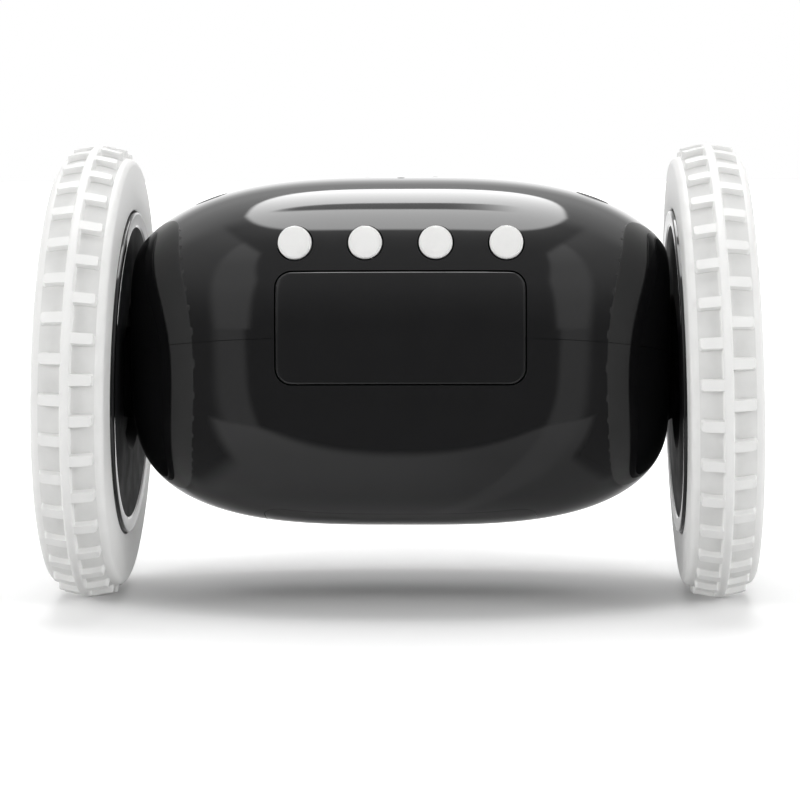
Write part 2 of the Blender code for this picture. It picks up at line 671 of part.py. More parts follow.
def build_buttons():
    """Four round buttons: a cap with an eased edge, a flange behind the shell and a stem over the switch."""
    flange_back = BUTTON_FLANGE_TOP - BUTTON_FLANGE_THICKNESS
    outline = [
        (0, BUTTON_FACE),
        (BUTTON_RADIUS - BUTTON_EDGE, BUTTON_FACE),
        (BUTTON_RADIUS - BUTTON_EDGE / 4, BUTTON_FACE - BUTTON_EDGE / 4),
        (BUTTON_RADIUS, BUTTON_FACE - BUTTON_EDGE),
        (BUTTON_RADIUS, BUTTON_FLANGE_TOP),
        (BUTTON_FLANGE_RADIUS, BUTTON_FLANGE_TOP),
        (BUTTON_FLANGE_RADIUS, flange_back),
        (STEM_RADIUS, flange_back),
        (STEM_RADIUS, SWITCH_TIP + GAP + BUTTON_TRAVEL),
        (0, SWITCH_TIP + GAP + BUTTON_TRAVEL),
    ]
    for name, x in zip(BUTTON_NAMES, BUTTON_XS):
        place(turned(name, outline, ROUND_SIDES), KEY_FRAME, (x, BUTTON_UP, 0), material=WHITE_PLASTIC)


def build_key_board():
    centre = (KEY_SHIFT, KEY_BOARD_UP)
    outline = rounded(*KEY_BOARD_SIZE, BOARD_CORNER, centre, 2)
    board = plate("key_board", outline, KEY_BOARD_OUT - BOARD_THICKNESS, KEY_BOARD_OUT)
    place(board, KEY_FRAME, material=BOARD_GREEN)
    seats = [("snooze_switch", KEY_SHIFT, 0)]
    for name, x in zip(BUTTON_NAMES, BUTTON_XS):
        seats.append((name.replace("button", "switch"), x, BUTTON_UP))
    half = SWITCH_SIZE / 2
    low = KEY_BOARD_OUT + GAP
    high = KEY_BOARD_OUT + SWITCH_HEIGHT
    for name, x, up in seats:
        switch = box(name, (-half, -half, low), (half, half, high))
        place(switch, KEY_FRAME, (x, up, 0), material=DARK_PLASTIC)
        stem = rod("switch_stem_shape", SWITCH_STEM_RADIUS, high - GAP, SWITCH_TIP, SMALL_SIDES)
        combine(switch, place(stem, KEY_FRAME, (x, up, 0), helper=True), "UNION")


# Display and sound

def build_display():
    """A clear window flush with the body, and behind it the liquid-crystal glass in a frame on the board."""
    outline = rounded(WINDOW_WIDTH, WINDOW_HEIGHT, WINDOW_CORNER)
    window = plate("display_window", outline, LCD_FRONT, FAR_OUT)
    place(window, DISPLAY_FRAME, material=CLEAR_PLASTIC)
    combine(window, SKIN, "INTERSECT")
    combine(window, body_form("window_back_shape", WALL, CAVITY_RINGS, CAVITY_SIDES), "DIFFERENCE")
    glass = rounded(LCD_WIDTH, LCD_HEIGHT, BOARD_CORNER, steps=1)
    panel = plate("lcd_panel", glass, LCD_FRONT - LCD_THICKNESS, LCD_FRONT)
    place(panel, DISPLAY_FRAME, material=LCD_GREY)
    border = 2 * LCD_FRAME_BORDER
    frame_outline = rounded(LCD_WIDTH + border, LCD_HEIGHT + border, LCD_FRAME_BORDER, steps=2)
    holder = plate("lcd_frame", frame_outline, LCD_FRAME_BACK, LCD_FRONT - GAP)
    place(holder, DISPLAY_FRAME, material=DARK_PLASTIC)
    hole = rounded(LCD_WIDTH + 2 * GAP, LCD_HEIGHT + 2 * GAP, BOARD_CORNER, steps=1)
    cutter = plate("lcd_frame_hole", hole, LCD_FRAME_BACK - GAP, FAR_OUT)
    combine(holder, place(cutter, DISPLAY_FRAME, helper=True), "DIFFERENCE")
    outline = rounded(*MAIN_BOARD_SIZE, BOARD_CORNER, steps=2)
    board = plate("main_board", outline, MAIN_BOARD_TOP - BOARD_THICKNESS, MAIN_BOARD_TOP)
    place(board, DISPLAY_FRAME, material=BOARD_GREEN)


def build_speaker():
    """A speaker under the sound holes: a thin rim, and a magnet below it."""
    rim_back = SPEAKER_TOP - SPEAKER_RIM
    outline = [
        (0, SPEAKER_TOP),
        (SPEAKER_RADIUS, SPEAKER_TOP),
        (SPEAKER_RADIUS, rim_back),
        (MAGNET_RADIUS, rim_back - SPEAKER_RIM / 2),
        (MAGNET_RADIUS, rim_back - MAGNET_HEIGHT),
        (0, rim_back - MAGNET_HEIGHT),
    ]
    place(turned("speaker", outline, ROUND_SIDES), AXLE_LEVEL, material=STEEL)


# Batteries and their door

def build_batteries():
    """Four cells side by side, alternately turned round, in a tray with a contact plate at each end."""
    half_x = CELL_LENGTH / 2 + CELL_NUB_LENGTH
    contact_at = half_x + GAP
    tray_x = contact_at + CONTACT_THICKNESS + GAP
    tray_y = CELL_ROW_HALF + GAP
    tray_top = -CELL_DROP + CELL_RADIUS + GAP
    tray_rim = TAB_TOP + 2 * GAP
    outer_x = tray_x + BATTERY_WALL
    outer_y = tray_y + BATTERY_WALL
    row_at = (0, -CELL_FORWARD, 0)
    tray = box("battery_tray", (-outer_x, -outer_y, tray_rim), (outer_x, outer_y, tray_top + BATTERY_WALL))
    place(tray, AXLE_LEVEL, row_at, material=NATURAL_PLASTIC)
    room = box("battery_room", (-tray_x, -tray_y, -FAR_OUT), (tray_x, tray_y, tray_top))
    combine(tray, place(room, AXLE_LEVEL, row_at, helper=True), "DIFFERENCE")
    outline = [
        (0, half_x),
        (CELL_NUB_RADIUS, half_x),
        (CELL_NUB_RADIUS, half_x - CELL_NUB_LENGTH),
        (CELL_RADIUS, half_x - CELL_NUB_LENGTH),
        (CELL_RADIUS, -half_x + CELL_NUB_LENGTH),
        (0, -half_x + CELL_NUB_LENGTH),
    ]
    for number in range(CELLS):
        y = CELL_PITCH * (number - (CELLS - 1) / 2)
        cell = turned(f"battery_{number + 1}", outline, CELL_SIDES)
        place(cell, AXLE_LEVEL, (0, y - CELL_FORWARD, -CELL_DROP), material=CELL_BLUE)
        cell.rotation_euler.y = math.pi / 2 if number % 2 else -math.pi / 2
    low = -CELL_DROP - CELL_NUB_RADIUS
    for side, word in ((-1, "left"), (1, "right")):
        x = sorted((side * contact_at, side * (contact_at + CONTACT_THICKNESS)))
        strip_y = tray_y - GAP
        strip = box(f"{word}_battery_contact", (x[0], -strip_y, low), (x[1], strip_y, tray_top - GAP))
        place(strip, AXLE_LEVEL, row_at, material=STEEL)


def build_battery_door():
    """A lid of the lower shell's own form, on two hooked tabs at its rear edge. Its origin is the hinge."""
    hinge = (0, DOOR_HALF_Y, keel_height(0, DOOR_HALF_Y) + DOOR_HINGE_RISE)
    door_frame = frame_at("door_hinge", (0, hinge[1], AXLE_HEIGHT + hinge[2]), (0, 0, 0))
    outline = [(x, y - hinge[1]) for x, y in rounded(2 * DOOR_HALF_X, 2 * DOOR_HALF_Y, DOOR_CORNER)]
    door = plate("battery_door", outline, -FAR_OUT, FAR_OUT - CELL_DROP)
    place(door, door_frame, material=BLACK_GLOSS)
    bottom = body_form("door_skin_shape", 0, SKIN_RINGS, SKIN_SIDES)
    lid = box("door_lid_shape", (-SEAM_REACH, -SEAM_REACH, -SEAM_REACH), (SEAM_REACH, SEAM_REACH, -CELL_DROP))
    combine(bottom, place(lid, AXLE_LEVEL, helper=True), "INTERSECT")
    combine(bottom, body_form("door_back_shape", WALL, CAVITY_RINGS, CAVITY_SIDES), "DIFFERENCE")
    combine(door, bottom, "INTERSECT")
    for side in (-1, 1):
        middle = side * TAB_OUT
        tab_top = TAB_TOP - hinge[2]
        rib_foot = keel_height(TAB_OUT + TAB_WIDTH / 2, DOOR_HALF_Y) - hinge[2] + WALL / 2
        tab = box(
            "door_tab_shape",
            (middle - TAB_WIDTH / 2, -TAB_ROOT, tab_top - TAB_THICKNESS),
            (middle + TAB_WIDTH / 2, TAB_REACH, tab_top),
        )
        combine(door, place(tab, door_frame, helper=True), "UNION")
        rib = box(
            "door_rib_shape",
            (middle - TAB_WIDTH / 2, -TAB_ROOT, rib_foot),
            (middle + TAB_WIDTH / 2, 0, tab_top - TAB_THICKNESS / 2),
        )
        combine(door, place(rib, door_frame, helper=True), "UNION")


# Wheels

def build_tyre(word, frame, lug_turn):
    """A rubber ring with a rib round its middle, and lugs beside the rib, half a pitch out of step."""
    half = TYRE_WIDTH / 2
    side_points = [
        (WHEEL_RADIUS, RIB_WIDTH / 2),
        (CROWN_RADIUS, RIB_WIDTH / 2),
        (SHOULDER_RADIUS, RIB_WIDTH / 2 + LUG_LENGTH),
        (SIDEWALL_TOP, half),
        (TYRE_BORE, half),
    ]
    outline = [(radius, -out) for radius, out in side_points]
    outline += [(radius, out) for radius, out in reversed(side_points)]
    tyre = turned(f"{word}_tyre", outline, TYRE_SIDES)
    place(tyre, frame, turn=FACET, material=WHITE_RUBBER)
    start = RIB_WIDTH / 2 - GAP
    end = RIB_WIDTH / 2 + LUG_LENGTH
    lug = [
        (SHOULDER_RADIUS - LUG_SINK, start),
        (LUG_TOP_RADIUS, start),
        (LUG_TOP_RADIUS - LUG_TAPER, end - LUG_ROUNDING),
        (SHOULDER_RADIUS, end + GAP),
        (SHOULDER_RADIUS - LUG_SINK, end),
    ]
    blank = plate("lug_shape", lug, -LUG_WIDTH / 2, LUG_WIDTH / 2)
    shape = bmesh.new()
    for row in (-1, 1):
        for number in range(LUG_PAIRS):
            angle = lug_turn + 2 * math.pi * (number + (row + 1) / 4) / LUG_PAIRS
            before = len(shape.verts)
            shape.from_mesh(blank.data)
            shape.verts.ensure_lookup_table()
            for vertex in shape.verts[before:]:
                radius, out, across = vertex.co
                vertex.co.x = radius * math.cos(angle) - across * math.sin(angle)
                vertex.co.y = radius * math.sin(angle) + across * math.cos(angle)
                vertex.co.z = row * out
    bmesh.ops.recalc_face_normals(shape, faces=shape.faces)
    mesh = bpy.data.meshes.new("lugs")
    shape.to_mesh(mesh)
    shape.free()
    bpy.data.objects.remove(blank)
    lugs = bpy.data.objects.new(f"{word}_lug_shapes", mesh)
    bpy.context.scene.collection.objects.link(lugs)
    combine(tyre, place(lugs, frame, helper=True), "UNION")


def build_hub(word, frame):
    """A dished hub with a stepped centre, a cover like it on the outside, and a cap over the wheel's screw."""
    disc = -HUB_HALF + DISC_STEP
    hub = [
        (RIM_RADIUS, HUB_HALF),
        (RIM_RADIUS, -HUB_HALF),
        (RIM_RADIUS - FLANGE_WIDTH, -HUB_HALF),
        (RIM_RADIUS - FLANGE_WIDTH - DISC_STEP, disc),
        (WELL_RADIUS, disc),
        (WELL_FLOOR_RADIUS, WELL_FLOOR),
        (SHAFT_RADIUS + GAP, WELL_FLOOR),
        (SHAFT_RADIUS + GAP, HUB_BOSS_TOP),
        (HUB_BOSS_RADIUS, HUB_BOSS_TOP),
        (HUB_BOSS_RADIUS, WELL_FLOOR + WEB),
        (WELL_FLOOR_RADIUS + WEB, WELL_FLOOR + WEB),
        (WELL_RADIUS + WEB, disc + WEB),
        (RIM_RADIUS - RIM_WALL, disc + WEB),
        (RIM_RADIUS - RIM_WALL, HUB_HALF),
    ]
    place(turned(f"{word}_hub", hub, HUB_SIDES), frame, material=BLACK_GLOSS)
    face = HUB_HALF - DISC_STEP
    floor = face - WELL_DEPTH
    edge = RIM_RADIUS - RIM_WALL - GAP / math.cos(math.pi / HUB_SIDES)
    cover = [
        (edge, face),
        (edge, face - COVER_WALL),
        (WELL_RADIUS + COVER_WALL, face - COVER_WALL),
        (WELL_FLOOR_RADIUS + COVER_WALL, floor - COVER_WALL),
        (CAP_RADIUS + GAP, floor - COVER_WALL),
        (CAP_RADIUS + GAP, floor),
        (WELL_FLOOR_RADIUS, floor),
        (WELL_RADIUS, face),
    ]
    place(turned(f"{word}_hub_cover", cover, HUB_SIDES), frame, material=BLACK_GLOSS)
    cap_edge = floor + CAP_PROUD
    cap = [
        (0, cap_edge + CAP_CROWN),
        (CAP_RADIUS * CAP_SHOULDER_OUT, cap_edge + CAP_CROWN * CAP_SHOULDER_UP),
        (CAP_RADIUS, cap_edge),
        (CAP_RADIUS, floor - COVER_WALL + GAP),
        (0, floor - COVER_WALL + GAP),
    ]
    place(turned(f"{word}_hub_cap", cap, ROUND_SIDES), frame, material=BLACK_GLOSS)


def build_axle(word, frame):
    """The output shaft in its bush, and the screw that holds the wheel on the shaft."""
    end = HUB_BOSS_TOP - GAP
    tapped = WHEEL_SCREW_SHANK + GAP
    shaft_foot = MOTOR_TOP + PLATE_THICKNESS
    shaft = [
        (0, end - WHEEL_SCREW_LENGTH - GAP),
        (tapped, end - WHEEL_SCREW_LENGTH - GAP),
        (tapped, end),
        (SHAFT_RADIUS, end),
        (SHAFT_RADIUS, shaft_foot),
        (0, shaft_foot),
    ]
    place(turned(f"{word}_output_shaft", shaft, ROUND_SIDES), frame, material=STEEL)
    seat = HUB_BOSS_TOP + GAP
    screw = [
        (0, seat + WHEEL_SCREW_HEIGHT),
        (WHEEL_SCREW_HEAD * SCREW_HEAD_TOP, seat + WHEEL_SCREW_HEIGHT),
        (WHEEL_SCREW_HEAD, seat),
        (WHEEL_SCREW_SHANK, seat),
        (WHEEL_SCREW_SHANK, end - WHEEL_SCREW_LENGTH),
        (0, end - WHEEL_SCREW_LENGTH),
    ]
    place(turned(f"{word}_wheel_screw", screw, SMALL_SIDES), frame, material=STEEL)
    bush = [
        (BUSH_RADIUS, NECK_END - GAP),
        (BUSH_RADIUS, CAVITY_END + GAP),
        (SHAFT_RADIUS + RUNNING, CAVITY_END + GAP),
        (SHAFT_RADIUS + RUNNING, NECK_END - GAP),
    ]
    place(turned(f"{word}_axle_bush", bush, ROUND_SIDES), frame, material=BRASS)


# Gears

def gear_outline(teeth):
    """The outline of a small moulded gear whose first tooth points along X."""
    pitch_radius = MODULE * teeth / 2
    root = pitch_radius - DEDENDUM * MODULE
    tip = pitch_radius + ADDENDUM * MODULE
    step = 2 * math.pi / teeth
    points = []
    for tooth in range(teeth):
        middle = tooth * step
        for radius, share in ((root, -TOOTH_SHARE), (tip, -TIP_SHARE), (tip, TIP_SHARE), (root, TOOTH_SHARE)):
            width = share if radius == tip else share * ROOT_FLARE
            angle = middle + width * step / 2
            points.append((radius * math.cos(angle), radius * math.sin(angle)))
    return points


def bore(piece, frame, location, radius, low, high):
    cutter = rod("bore_shape", radius, low - GAP, high + GAP, SMALL_SIDES)
    combine(piece, place(cutter, frame, location, helper=True), "DIFFERENCE")


def beside(side, up, back):
    """A place in a wheel frame, from how far up and back of the axle it is."""
    return (-side * up, back, 0)


def build_gears(word, side, frame):
    """Output gear on the axle, idler above and behind it, and the motor's pinion. They mesh tooth to gap."""
    idler_at = beside(side, IDLER_UP, IDLER_BACK)
    motor_at = beside(side, 0, MOTOR_BACK)
    to_idler = math.atan2(idler_at[1], idler_at[0])
    to_motor = math.atan2(motor_at[1] - idler_at[1], motor_at[0] - idler_at[0])
    half_step = math.pi / SMALL_TEETH
    low = OUTPUT_GEAR_TOP - OUTPUT_GEAR_THICKNESS
    output = plate(f"{word}_output_gear", gear_outline(BIG_TEETH), low, OUTPUT_GEAR_TOP)
    place(output, frame, turn=to_idler, material=NATURAL_PLASTIC)
    bore(output, frame, (0, 0, 0), SHAFT_RADIUS + GAP, low, OUTPUT_GEAR_TOP)
    low = IDLER_GEAR_TOP - GEAR_THICKNESS
    idler = plate(f"{word}_idler_gear", gear_outline(BIG_TEETH), low, IDLER_GEAR_TOP)
    place(idler, frame, idler_at, turn=to_motor, material=NATURAL_PLASTIC)
    small = plate("idler_pinion_shape", gear_outline(SMALL_TEETH), IDLER_GEAR_TOP - GAP, OUTPUT_GEAR_TOP)
    place(small, frame, idler_at, turn=to_idler + math.pi + half_step, helper=True)
    combine(idler, small, "UNION")
    bore(idler, frame, idler_at, PIN_RADIUS + RUNNING, low, OUTPUT_GEAR_TOP)
    rotor = plate(f"{word}_motor_pinion", gear_outline(SMALL_TEETH), low, IDLER_GEAR_TOP)
    place(rotor, frame, motor_at, turn=to_motor + math.pi + half_step, material=BRASS)
    shaft_foot = MOTOR_TOP - MOTOR_SHAFT_DEPTH
    shaft = rod("motor_shaft_shape", MOTOR_SHAFT_RADIUS, shaft_foot, low + GAP, SMALL_SIDES)
    combine(rotor, place(shaft, frame, motor_at, helper=True), "UNION")
    pin_foot = INNER_PLATE_TOP - PLATE_THICKNESS
    pin = rod(f"{word}_idler_pin", PIN_RADIUS, pin_foot, OUTER_PLATE_TOP, SMALL_SIDES)
    place(pin, frame, idler_at, material=STEEL)


def build_motor(word, side, frame):
    """A round can with a flat in front and a flat behind."""
    reach_angle = math.asin(MOTOR_HALF_FLAT / MOTOR_RADIUS)
    outline = []
    for facing in (0, math.pi):
        for step in range(MOTOR_ARC_STEPS + 1):
            angle = facing + reach_angle * (2 * step / MOTOR_ARC_STEPS - 1)
            outline.append((MOTOR_RADIUS * math.cos(angle), MOTOR_RADIUS * math.sin(angle)))
    where = beside(side, 0, MOTOR_BACK)
    can = plate(f"{word}_motor", outline, MOTOR_TOP - MOTOR_LENGTH, MOTOR_TOP)
    place(can, frame, where, material=STEEL)
    bore(can, frame, where, MOTOR_SHAFT_RADIUS + GAP, MOTOR_TOP - MOTOR_SHAFT_DEPTH, MOTOR_TOP)


def build_gear_frame(word, side, frame):
    """Two plates on pillars, which hold the shafts square to each other."""
    inner_outline = rounded(*INNER_PLATE_SIZE, PLATE_CORNER, (-side * INNER_PLATE_UP, INNER_PLATE_BACK), 2)
    outer_outline = rounded(*OUTER_PLATE_SIZE, PLATE_CORNER, (-side * OUTER_PLATE_UP, OUTER_PLATE_BACK), 2)
    low = INNER_PLATE_TOP - PLATE_THICKNESS
    holder = plate(f"{word}_gear_frame", inner_outline, low, INNER_PLATE_TOP)
    place(holder, frame, material=DARK_PLASTIC)
    outer = plate("outer_plate_shape", outer_outline, OUTER_PLATE_TOP - PLATE_THICKNESS, OUTER_PLATE_TOP)
    for up, back in PILLARS:
        pillar = rod("pillar_shape", PILLAR_RADIUS, low + GAP, OUTER_PLATE_TOP - GAP, SMALL_SIDES)
        combine(holder, place(pillar, frame, beside(side, up, back), helper=True), "UNION")
    combine(holder, place(outer, frame, helper=True), "UNION")
    bore(holder, frame, (0, 0, 0), SHAFT_RADIUS + GAP, low, OUTER_PLATE_TOP)
    bore(holder, frame, beside(side, IDLER_UP, IDLER_BACK), PIN_RADIUS + GAP, low, OUTER_PLATE_TOP)
    bore(holder, frame, beside(side, 0, MOTOR_BACK), MOTOR_SHAFT_RADIUS + GAP, low, INNER_PLATE_TOP)


build_shells()
build_snooze_key()
build_buttons()
build_key_board()
build_display()
build_speaker()
build_batteries()
build_battery_door()
for word, side in SIDES.items():
    wheel_frame = WHEEL_FRAMES[word]
    build_tyre(word, wheel_frame, LEFT_LUG_TURN if side < 0 else RIGHT_LUG_TURN)
    build_hub(word, wheel_frame)
    build_axle(word, wheel_frame)
    build_gears(word, side, wheel_frame)
    build_motor(word, side, wheel_frame)
    build_gear_frame(word, side, wheel_frame)
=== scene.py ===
"""The looks of a rolling alarm clock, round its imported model. The axle runs along X and the keys face -Y."""

import math

import bmesh
import bpy
from mathutils import Matrix, Vector


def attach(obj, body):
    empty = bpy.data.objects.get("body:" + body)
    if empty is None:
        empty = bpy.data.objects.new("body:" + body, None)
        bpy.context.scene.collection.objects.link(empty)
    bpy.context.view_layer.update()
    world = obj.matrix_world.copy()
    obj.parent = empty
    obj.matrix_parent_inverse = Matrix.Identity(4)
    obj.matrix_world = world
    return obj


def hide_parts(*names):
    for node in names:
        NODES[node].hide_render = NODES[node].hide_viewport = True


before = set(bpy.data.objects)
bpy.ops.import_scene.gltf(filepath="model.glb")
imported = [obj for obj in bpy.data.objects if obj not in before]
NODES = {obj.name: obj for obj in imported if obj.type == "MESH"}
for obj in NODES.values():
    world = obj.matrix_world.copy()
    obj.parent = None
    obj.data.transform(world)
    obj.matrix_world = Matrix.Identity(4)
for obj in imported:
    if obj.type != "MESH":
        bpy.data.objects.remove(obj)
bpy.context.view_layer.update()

MM = 0.001
GAP = 0.3 * MM
MERGE = 0.000004
FULL_TURN = 2 * math.pi

# Stance
WHEEL_RADIUS = 44.5 * MM
HALF_TRACK = 60.5 * MM
CAMBER = math.radians(1.6)
TYRE_SIDES = 76
RIB_WIDTH = 1.8 * MM
LUG_PAIRS = 36
TREAD_MIDDLE_MM = 43.5
LUG_TURNS = {"left": math.radians(2.9), "right": math.radians(-1.5)}
FACET = math.pi / TYRE_SIDES
AXLE_HEIGHT = WHEEL_RADIUS * math.cos(FACET) * math.cos(CAMBER) + RIB_WIDTH / 2 * math.sin(CAMBER)
SIDES = {"left": -1, "right": 1}

# Body: a pebble with flat ends
BODY_HALF_LENGTH = 51.5 * MM
CROWN = (38.35 * MM, 23.7 * MM, 3.1, 1.4)
KEEL = (29.65 * MM, 10.2 * MM, 3.2, 2.1)
HALF_DEPTH = (34.5 * MM, 18.0 * MM, 3.0, 1.5)
DEPTH_POWER = 2.6
HEIGHT_POWER = 3.3
WALL = 2.2 * MM
SEAM_TILT = math.radians(15)
FAR_OUT = 45 * MM

# Keys and display
KEY_TILT = math.radians(8)
KEY_ORIGIN_HEIGHT = 6.2 * MM
KEY_SHIFT = 0.6 * MM
SNOOZE_SIZE = (46.5 * MM, 20.9 * MM)
SNOOZE_CORNER = 3.0 * MM
KEY_GAP = 0.2 * MM
BUTTONS = ("hour_button", "minute_button", "alarm_button", "time_button")
BUTTON_RADIUS = 3.12 * MM
BUTTON_SPACING = 13.1 * MM
BUTTON_UP = 15.9 * MM
BUTTON_PROUD = 1.0 * MM
DISPLAY_TILT = math.radians(10)
DISPLAY_ORIGIN_HEIGHT = 7.0 * MM
WINDOW_SIZE = (46 * MM, 20 * MM)
WINDOW_CORNER = 3.0 * MM
DIGIT_SIZE = (4.6 * MM, 9.4 * MM)
DIGIT_STEP = 7.4 * MM
DIGIT_BAR = 1.1 * MM
DIGIT_SLANT = 0.1
INK_THICKNESS = 0.04 * MM
TIME_SHOWN = "10:08"
SCREW_OUT = 37 * MM
SCREW_FORWARD = 5.5 * MM
PLUG_RADIUS = 3.0 * MM
HOLE_RING_RADIUS = 7.6 * MM
HOLE_RADIUS = 0.75 * MM
DOOR_SIZE = (52 * MM, 47 * MM)
DOOR_CORNER = 4.0 * MM
DOOR_GAP = 0.06 * MM
DOOR_HINGE_GAP = 0.42 * MM

# Wheels
HUB_HALF = 7.45 * MM
WELL_DEPTH = 2.0 * MM
DISC_STEP = 0.35 * MM
WELL_FLOOR = -HUB_HALF + DISC_STEP + WELL_DEPTH
NECK_END = WELL_FLOOR - 0.45 * MM
BODY_END = BODY_HALF_LENGTH - HALF_TRACK


# Choosing and placing

def only(piece):
    """Makes one piece the only one that is selected."""
    bpy.ops.object.select_all(action="DESELECT")
    piece.select_set(True)
    bpy.context.view_layer.objects.active = piece
    return piece


def added(name):
    """The piece just added, named and alone selected."""
    piece = bpy.context.object
    piece.name = name
    piece.data.name = name
    return only(piece)


def edit(piece, chosen=lambda vertex: True):
    """Goes into edit mode with the chosen points selected."""
    only(piece)
    bpy.ops.object.mode_set(mode="EDIT")
    bpy.ops.mesh.select_mode(type="VERT")
    bpy.ops.mesh.select_all(action="DESELECT")
    shape = bmesh.from_edit_mesh(piece.data)
    for vertex in shape.verts:
        vertex.select = chosen(vertex)
    shape.select_flush(True)
    bmesh.update_edit_mesh(piece.data)


def close(piece, smooth_angle=40):
    """Merges doubles, turns faces outwards and shades the piece smooth."""
    edit(piece)
    bpy.ops.mesh.remove_doubles(threshold=MERGE)
    bpy.ops.mesh.delete_loose(use_faces=False)
    bpy.ops.mesh.select_all(action="SELECT")
    bpy.ops.mesh.normals_make_consistent(inside=False)
    bpy.ops.object.mode_set(mode="OBJECT")
    bpy.ops.object.shade_smooth_by_angle(angle=math.radians(smooth_angle))
    return piece


def form(piece, rule):
    """Moves every point of a piece by a rule."""
    for vertex in piece.data.vertices:
        vertex.co = rule(vertex.co.copy())
    return piece


def settle(piece, matrix):
    """Puts a finished mesh in its place, with its object left at the origin."""
    piece.data.transform(matrix)
    piece.matrix_world = Matrix.Identity(4)
    return piece


def change(piece, kind, **settings):
    """Adds a modifier and applies it."""
    modifier = piece.modifiers.new(kind.title(), kind)
    for key, value in settings.items():
        setattr(modifier, key, value)
    only(piece)
    bpy.ops.object.modifier_apply(modifier=modifier.name)
    return piece


def joined(pieces):
    """Several pieces as one mesh."""
    only(pieces[0])
    for piece in pieces:
        piece.select_set(True)
    bpy.ops.object.join()
    return pieces[0]


def cut(piece, cutter, operation="DIFFERENCE"):
    change(piece, "BOOLEAN", operation=operation, object=cutter, solver="EXACT")
    bpy.data.objects.remove(cutter)
    return piece


def dress(piece, material, body, slot, *nodes):
    piece.data.materials.clear()
    piece.data.materials.append(material)
    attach(piece, body)
    if nodes:
        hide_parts(*nodes)
    return piece


def tilted(origin_height, tilt, facing):
    return Matrix.Translation((0, 0, AXLE_HEIGHT + origin_height)) @ Matrix.Rotation(
        facing, 4, "Z") @ Matrix.Rotation(math.pi / 2 - tilt, 4, "X")


KEY_FRAME = tilted(KEY_ORIGIN_HEIGHT, KEY_TILT, 0)
DISPLAY_FRAME = tilted(DISPLAY_ORIGIN_HEIGHT, DISPLAY_TILT, math.pi)
AXLE_FRAME = Matrix.Translation((0, 0, AXLE_HEIGHT))
WHEEL_FRAMES = {
    word: Matrix.Translation((side * HALF_TRACK, 0, AXLE_HEIGHT))
    @ Matrix.Rotation(side * (math.pi / 2 - CAMBER), 4, "Y")
    for word, side in SIDES.items()
}


# Body form

def swell(share, line):
    middle, end, squareness, fullness = line
    return end + (middle - end) * max(1 - share**squareness, 0) ** (1 / fullness)


def section(share, inset=0.0):
    """Half depth, half height and centre height over the axle of the body's section."""
    crown = swell(share, CROWN) - inset
    keel = swell(share, KEEL) - inset
    return swell(share, HALF_DEPTH) - inset, (crown + keel) / 2, (crown - keel) / 2


def inside(x, y, z, inset=0.0):
    """Below 1 inside the body, 1 on its skin. z is over the axle."""
    half_depth, half_height, centre = section(min(abs(x) / (BODY_HALF_LENGTH - inset), 1), inset)
    return (abs(y) / half_depth) ** DEPTH_POWER + (abs(z - centre) / half_height) ** HEIGHT_POWER


def skin_along(matrix, x, y, inset=0.0):
    """How far out along a frame's Z the body's skin lies."""
    near, far = 0.0, 2 * BODY_HALF_LENGTH
    for _ in range(34):
        out = (near + far) / 2
        point = matrix @ Vector((x, y, out))
        if inside(point.x, point.y, point.z - AXLE_HEIGHT, inset) < 1:
            near = out
        else:
            far = out
    return near


def skin_normal(point):
    """Which way the body's skin faces at a point on it."""
    step = 0.02 * MM
    x, y, z = point.x, point.y, point.z - AXLE_HEIGHT
    return Vector((
        inside(x + step, y, z) - inside(x - step, y, z),
        inside(x, y + step, z) - inside(x, y - step, z),
        inside(x, y, z + step) - inside(x, y, z - step),
    )).normalized()


def signed_power(value, power):
    return math.copysign(abs(value) ** power, value)


def pebble(name, inset, rings, segments):
    """The body's form, from a globe whose poles are at its two flat ends."""
    bpy.ops.mesh.primitive_uv_sphere_add(segments=segments, ring_count=rings, radius=1)
    piece = added(name)
    end_rings = 3

    def rule(co):
        ring = math.acos(max(-1, min(1, co.z))) / math.pi * rings
        around = math.atan2(co.y, co.x)
        along = (ring - end_rings) / (rings - 2 * end_rings)
        share = -math.cos(math.pi * max(0, min(1, along)))
        spread = min(1, ring / end_rings, (rings - ring) / end_rings)
        half_depth, half_height, centre = section(abs(share), inset)
        y = half_depth * spread * signed_power(math.cos(around), 2 / DEPTH_POWER)
        z = half_height * spread * signed_power(math.sin(around), 2 / HEIGHT_POWER)
        return Vector((share * (BODY_HALF_LENGTH - inset), y, AXLE_HEIGHT + centre + z))

    return close(form(piece, rule))


def spun(name, outline, steps=128):
    """A ring of points of (radius, height), spun round Z."""
    bpy.ops.mesh.primitive_circle_add(vertices=len(outline), fill_type="NOTHING", radius=1)
    piece = added(name)
    for vertex, (radius, height) in zip(piece.data.vertices, outline):
        vertex.co = (max(radius, 0), 0, height)
    edit(piece)
    bpy.ops.mesh.spin(steps=steps, angle=FULL_TURN, center=(0, 0, 0), axis=(0, 0, 1))
    bpy.ops.object.mode_set(mode="OBJECT")
    return piece


def eased(corners, steps=4):
    """An outline with its corners rounded. A corner is (radius, height) or (radius, height, easing)."""
    points = []
    count = len(corners)
    for number, corner in enumerate(corners):
        here = Vector(corner[:2])
        if len(corner) == 2:
            points.append(tuple(here))
            continue
        before = (Vector(corners[number - 1][:2]) - here).normalized()
        after = (Vector(corners[(number + 1) % count][:2]) - here).normalized()
        half = before.angle(after) / 2
        reach = corner[2] / math.tan(half)
        centre = here + (before + after).normalized() * (corner[2] / math.sin(half))
        start = here + before * reach - centre
        turn = start.angle_signed(here + after * reach - centre)
        for step in range(steps + 1):
            arm = start.copy()
            arm.rotate(Matrix.Rotation(-turn * step / steps, 2))
            points.append(tuple(centre + arm))
    return points


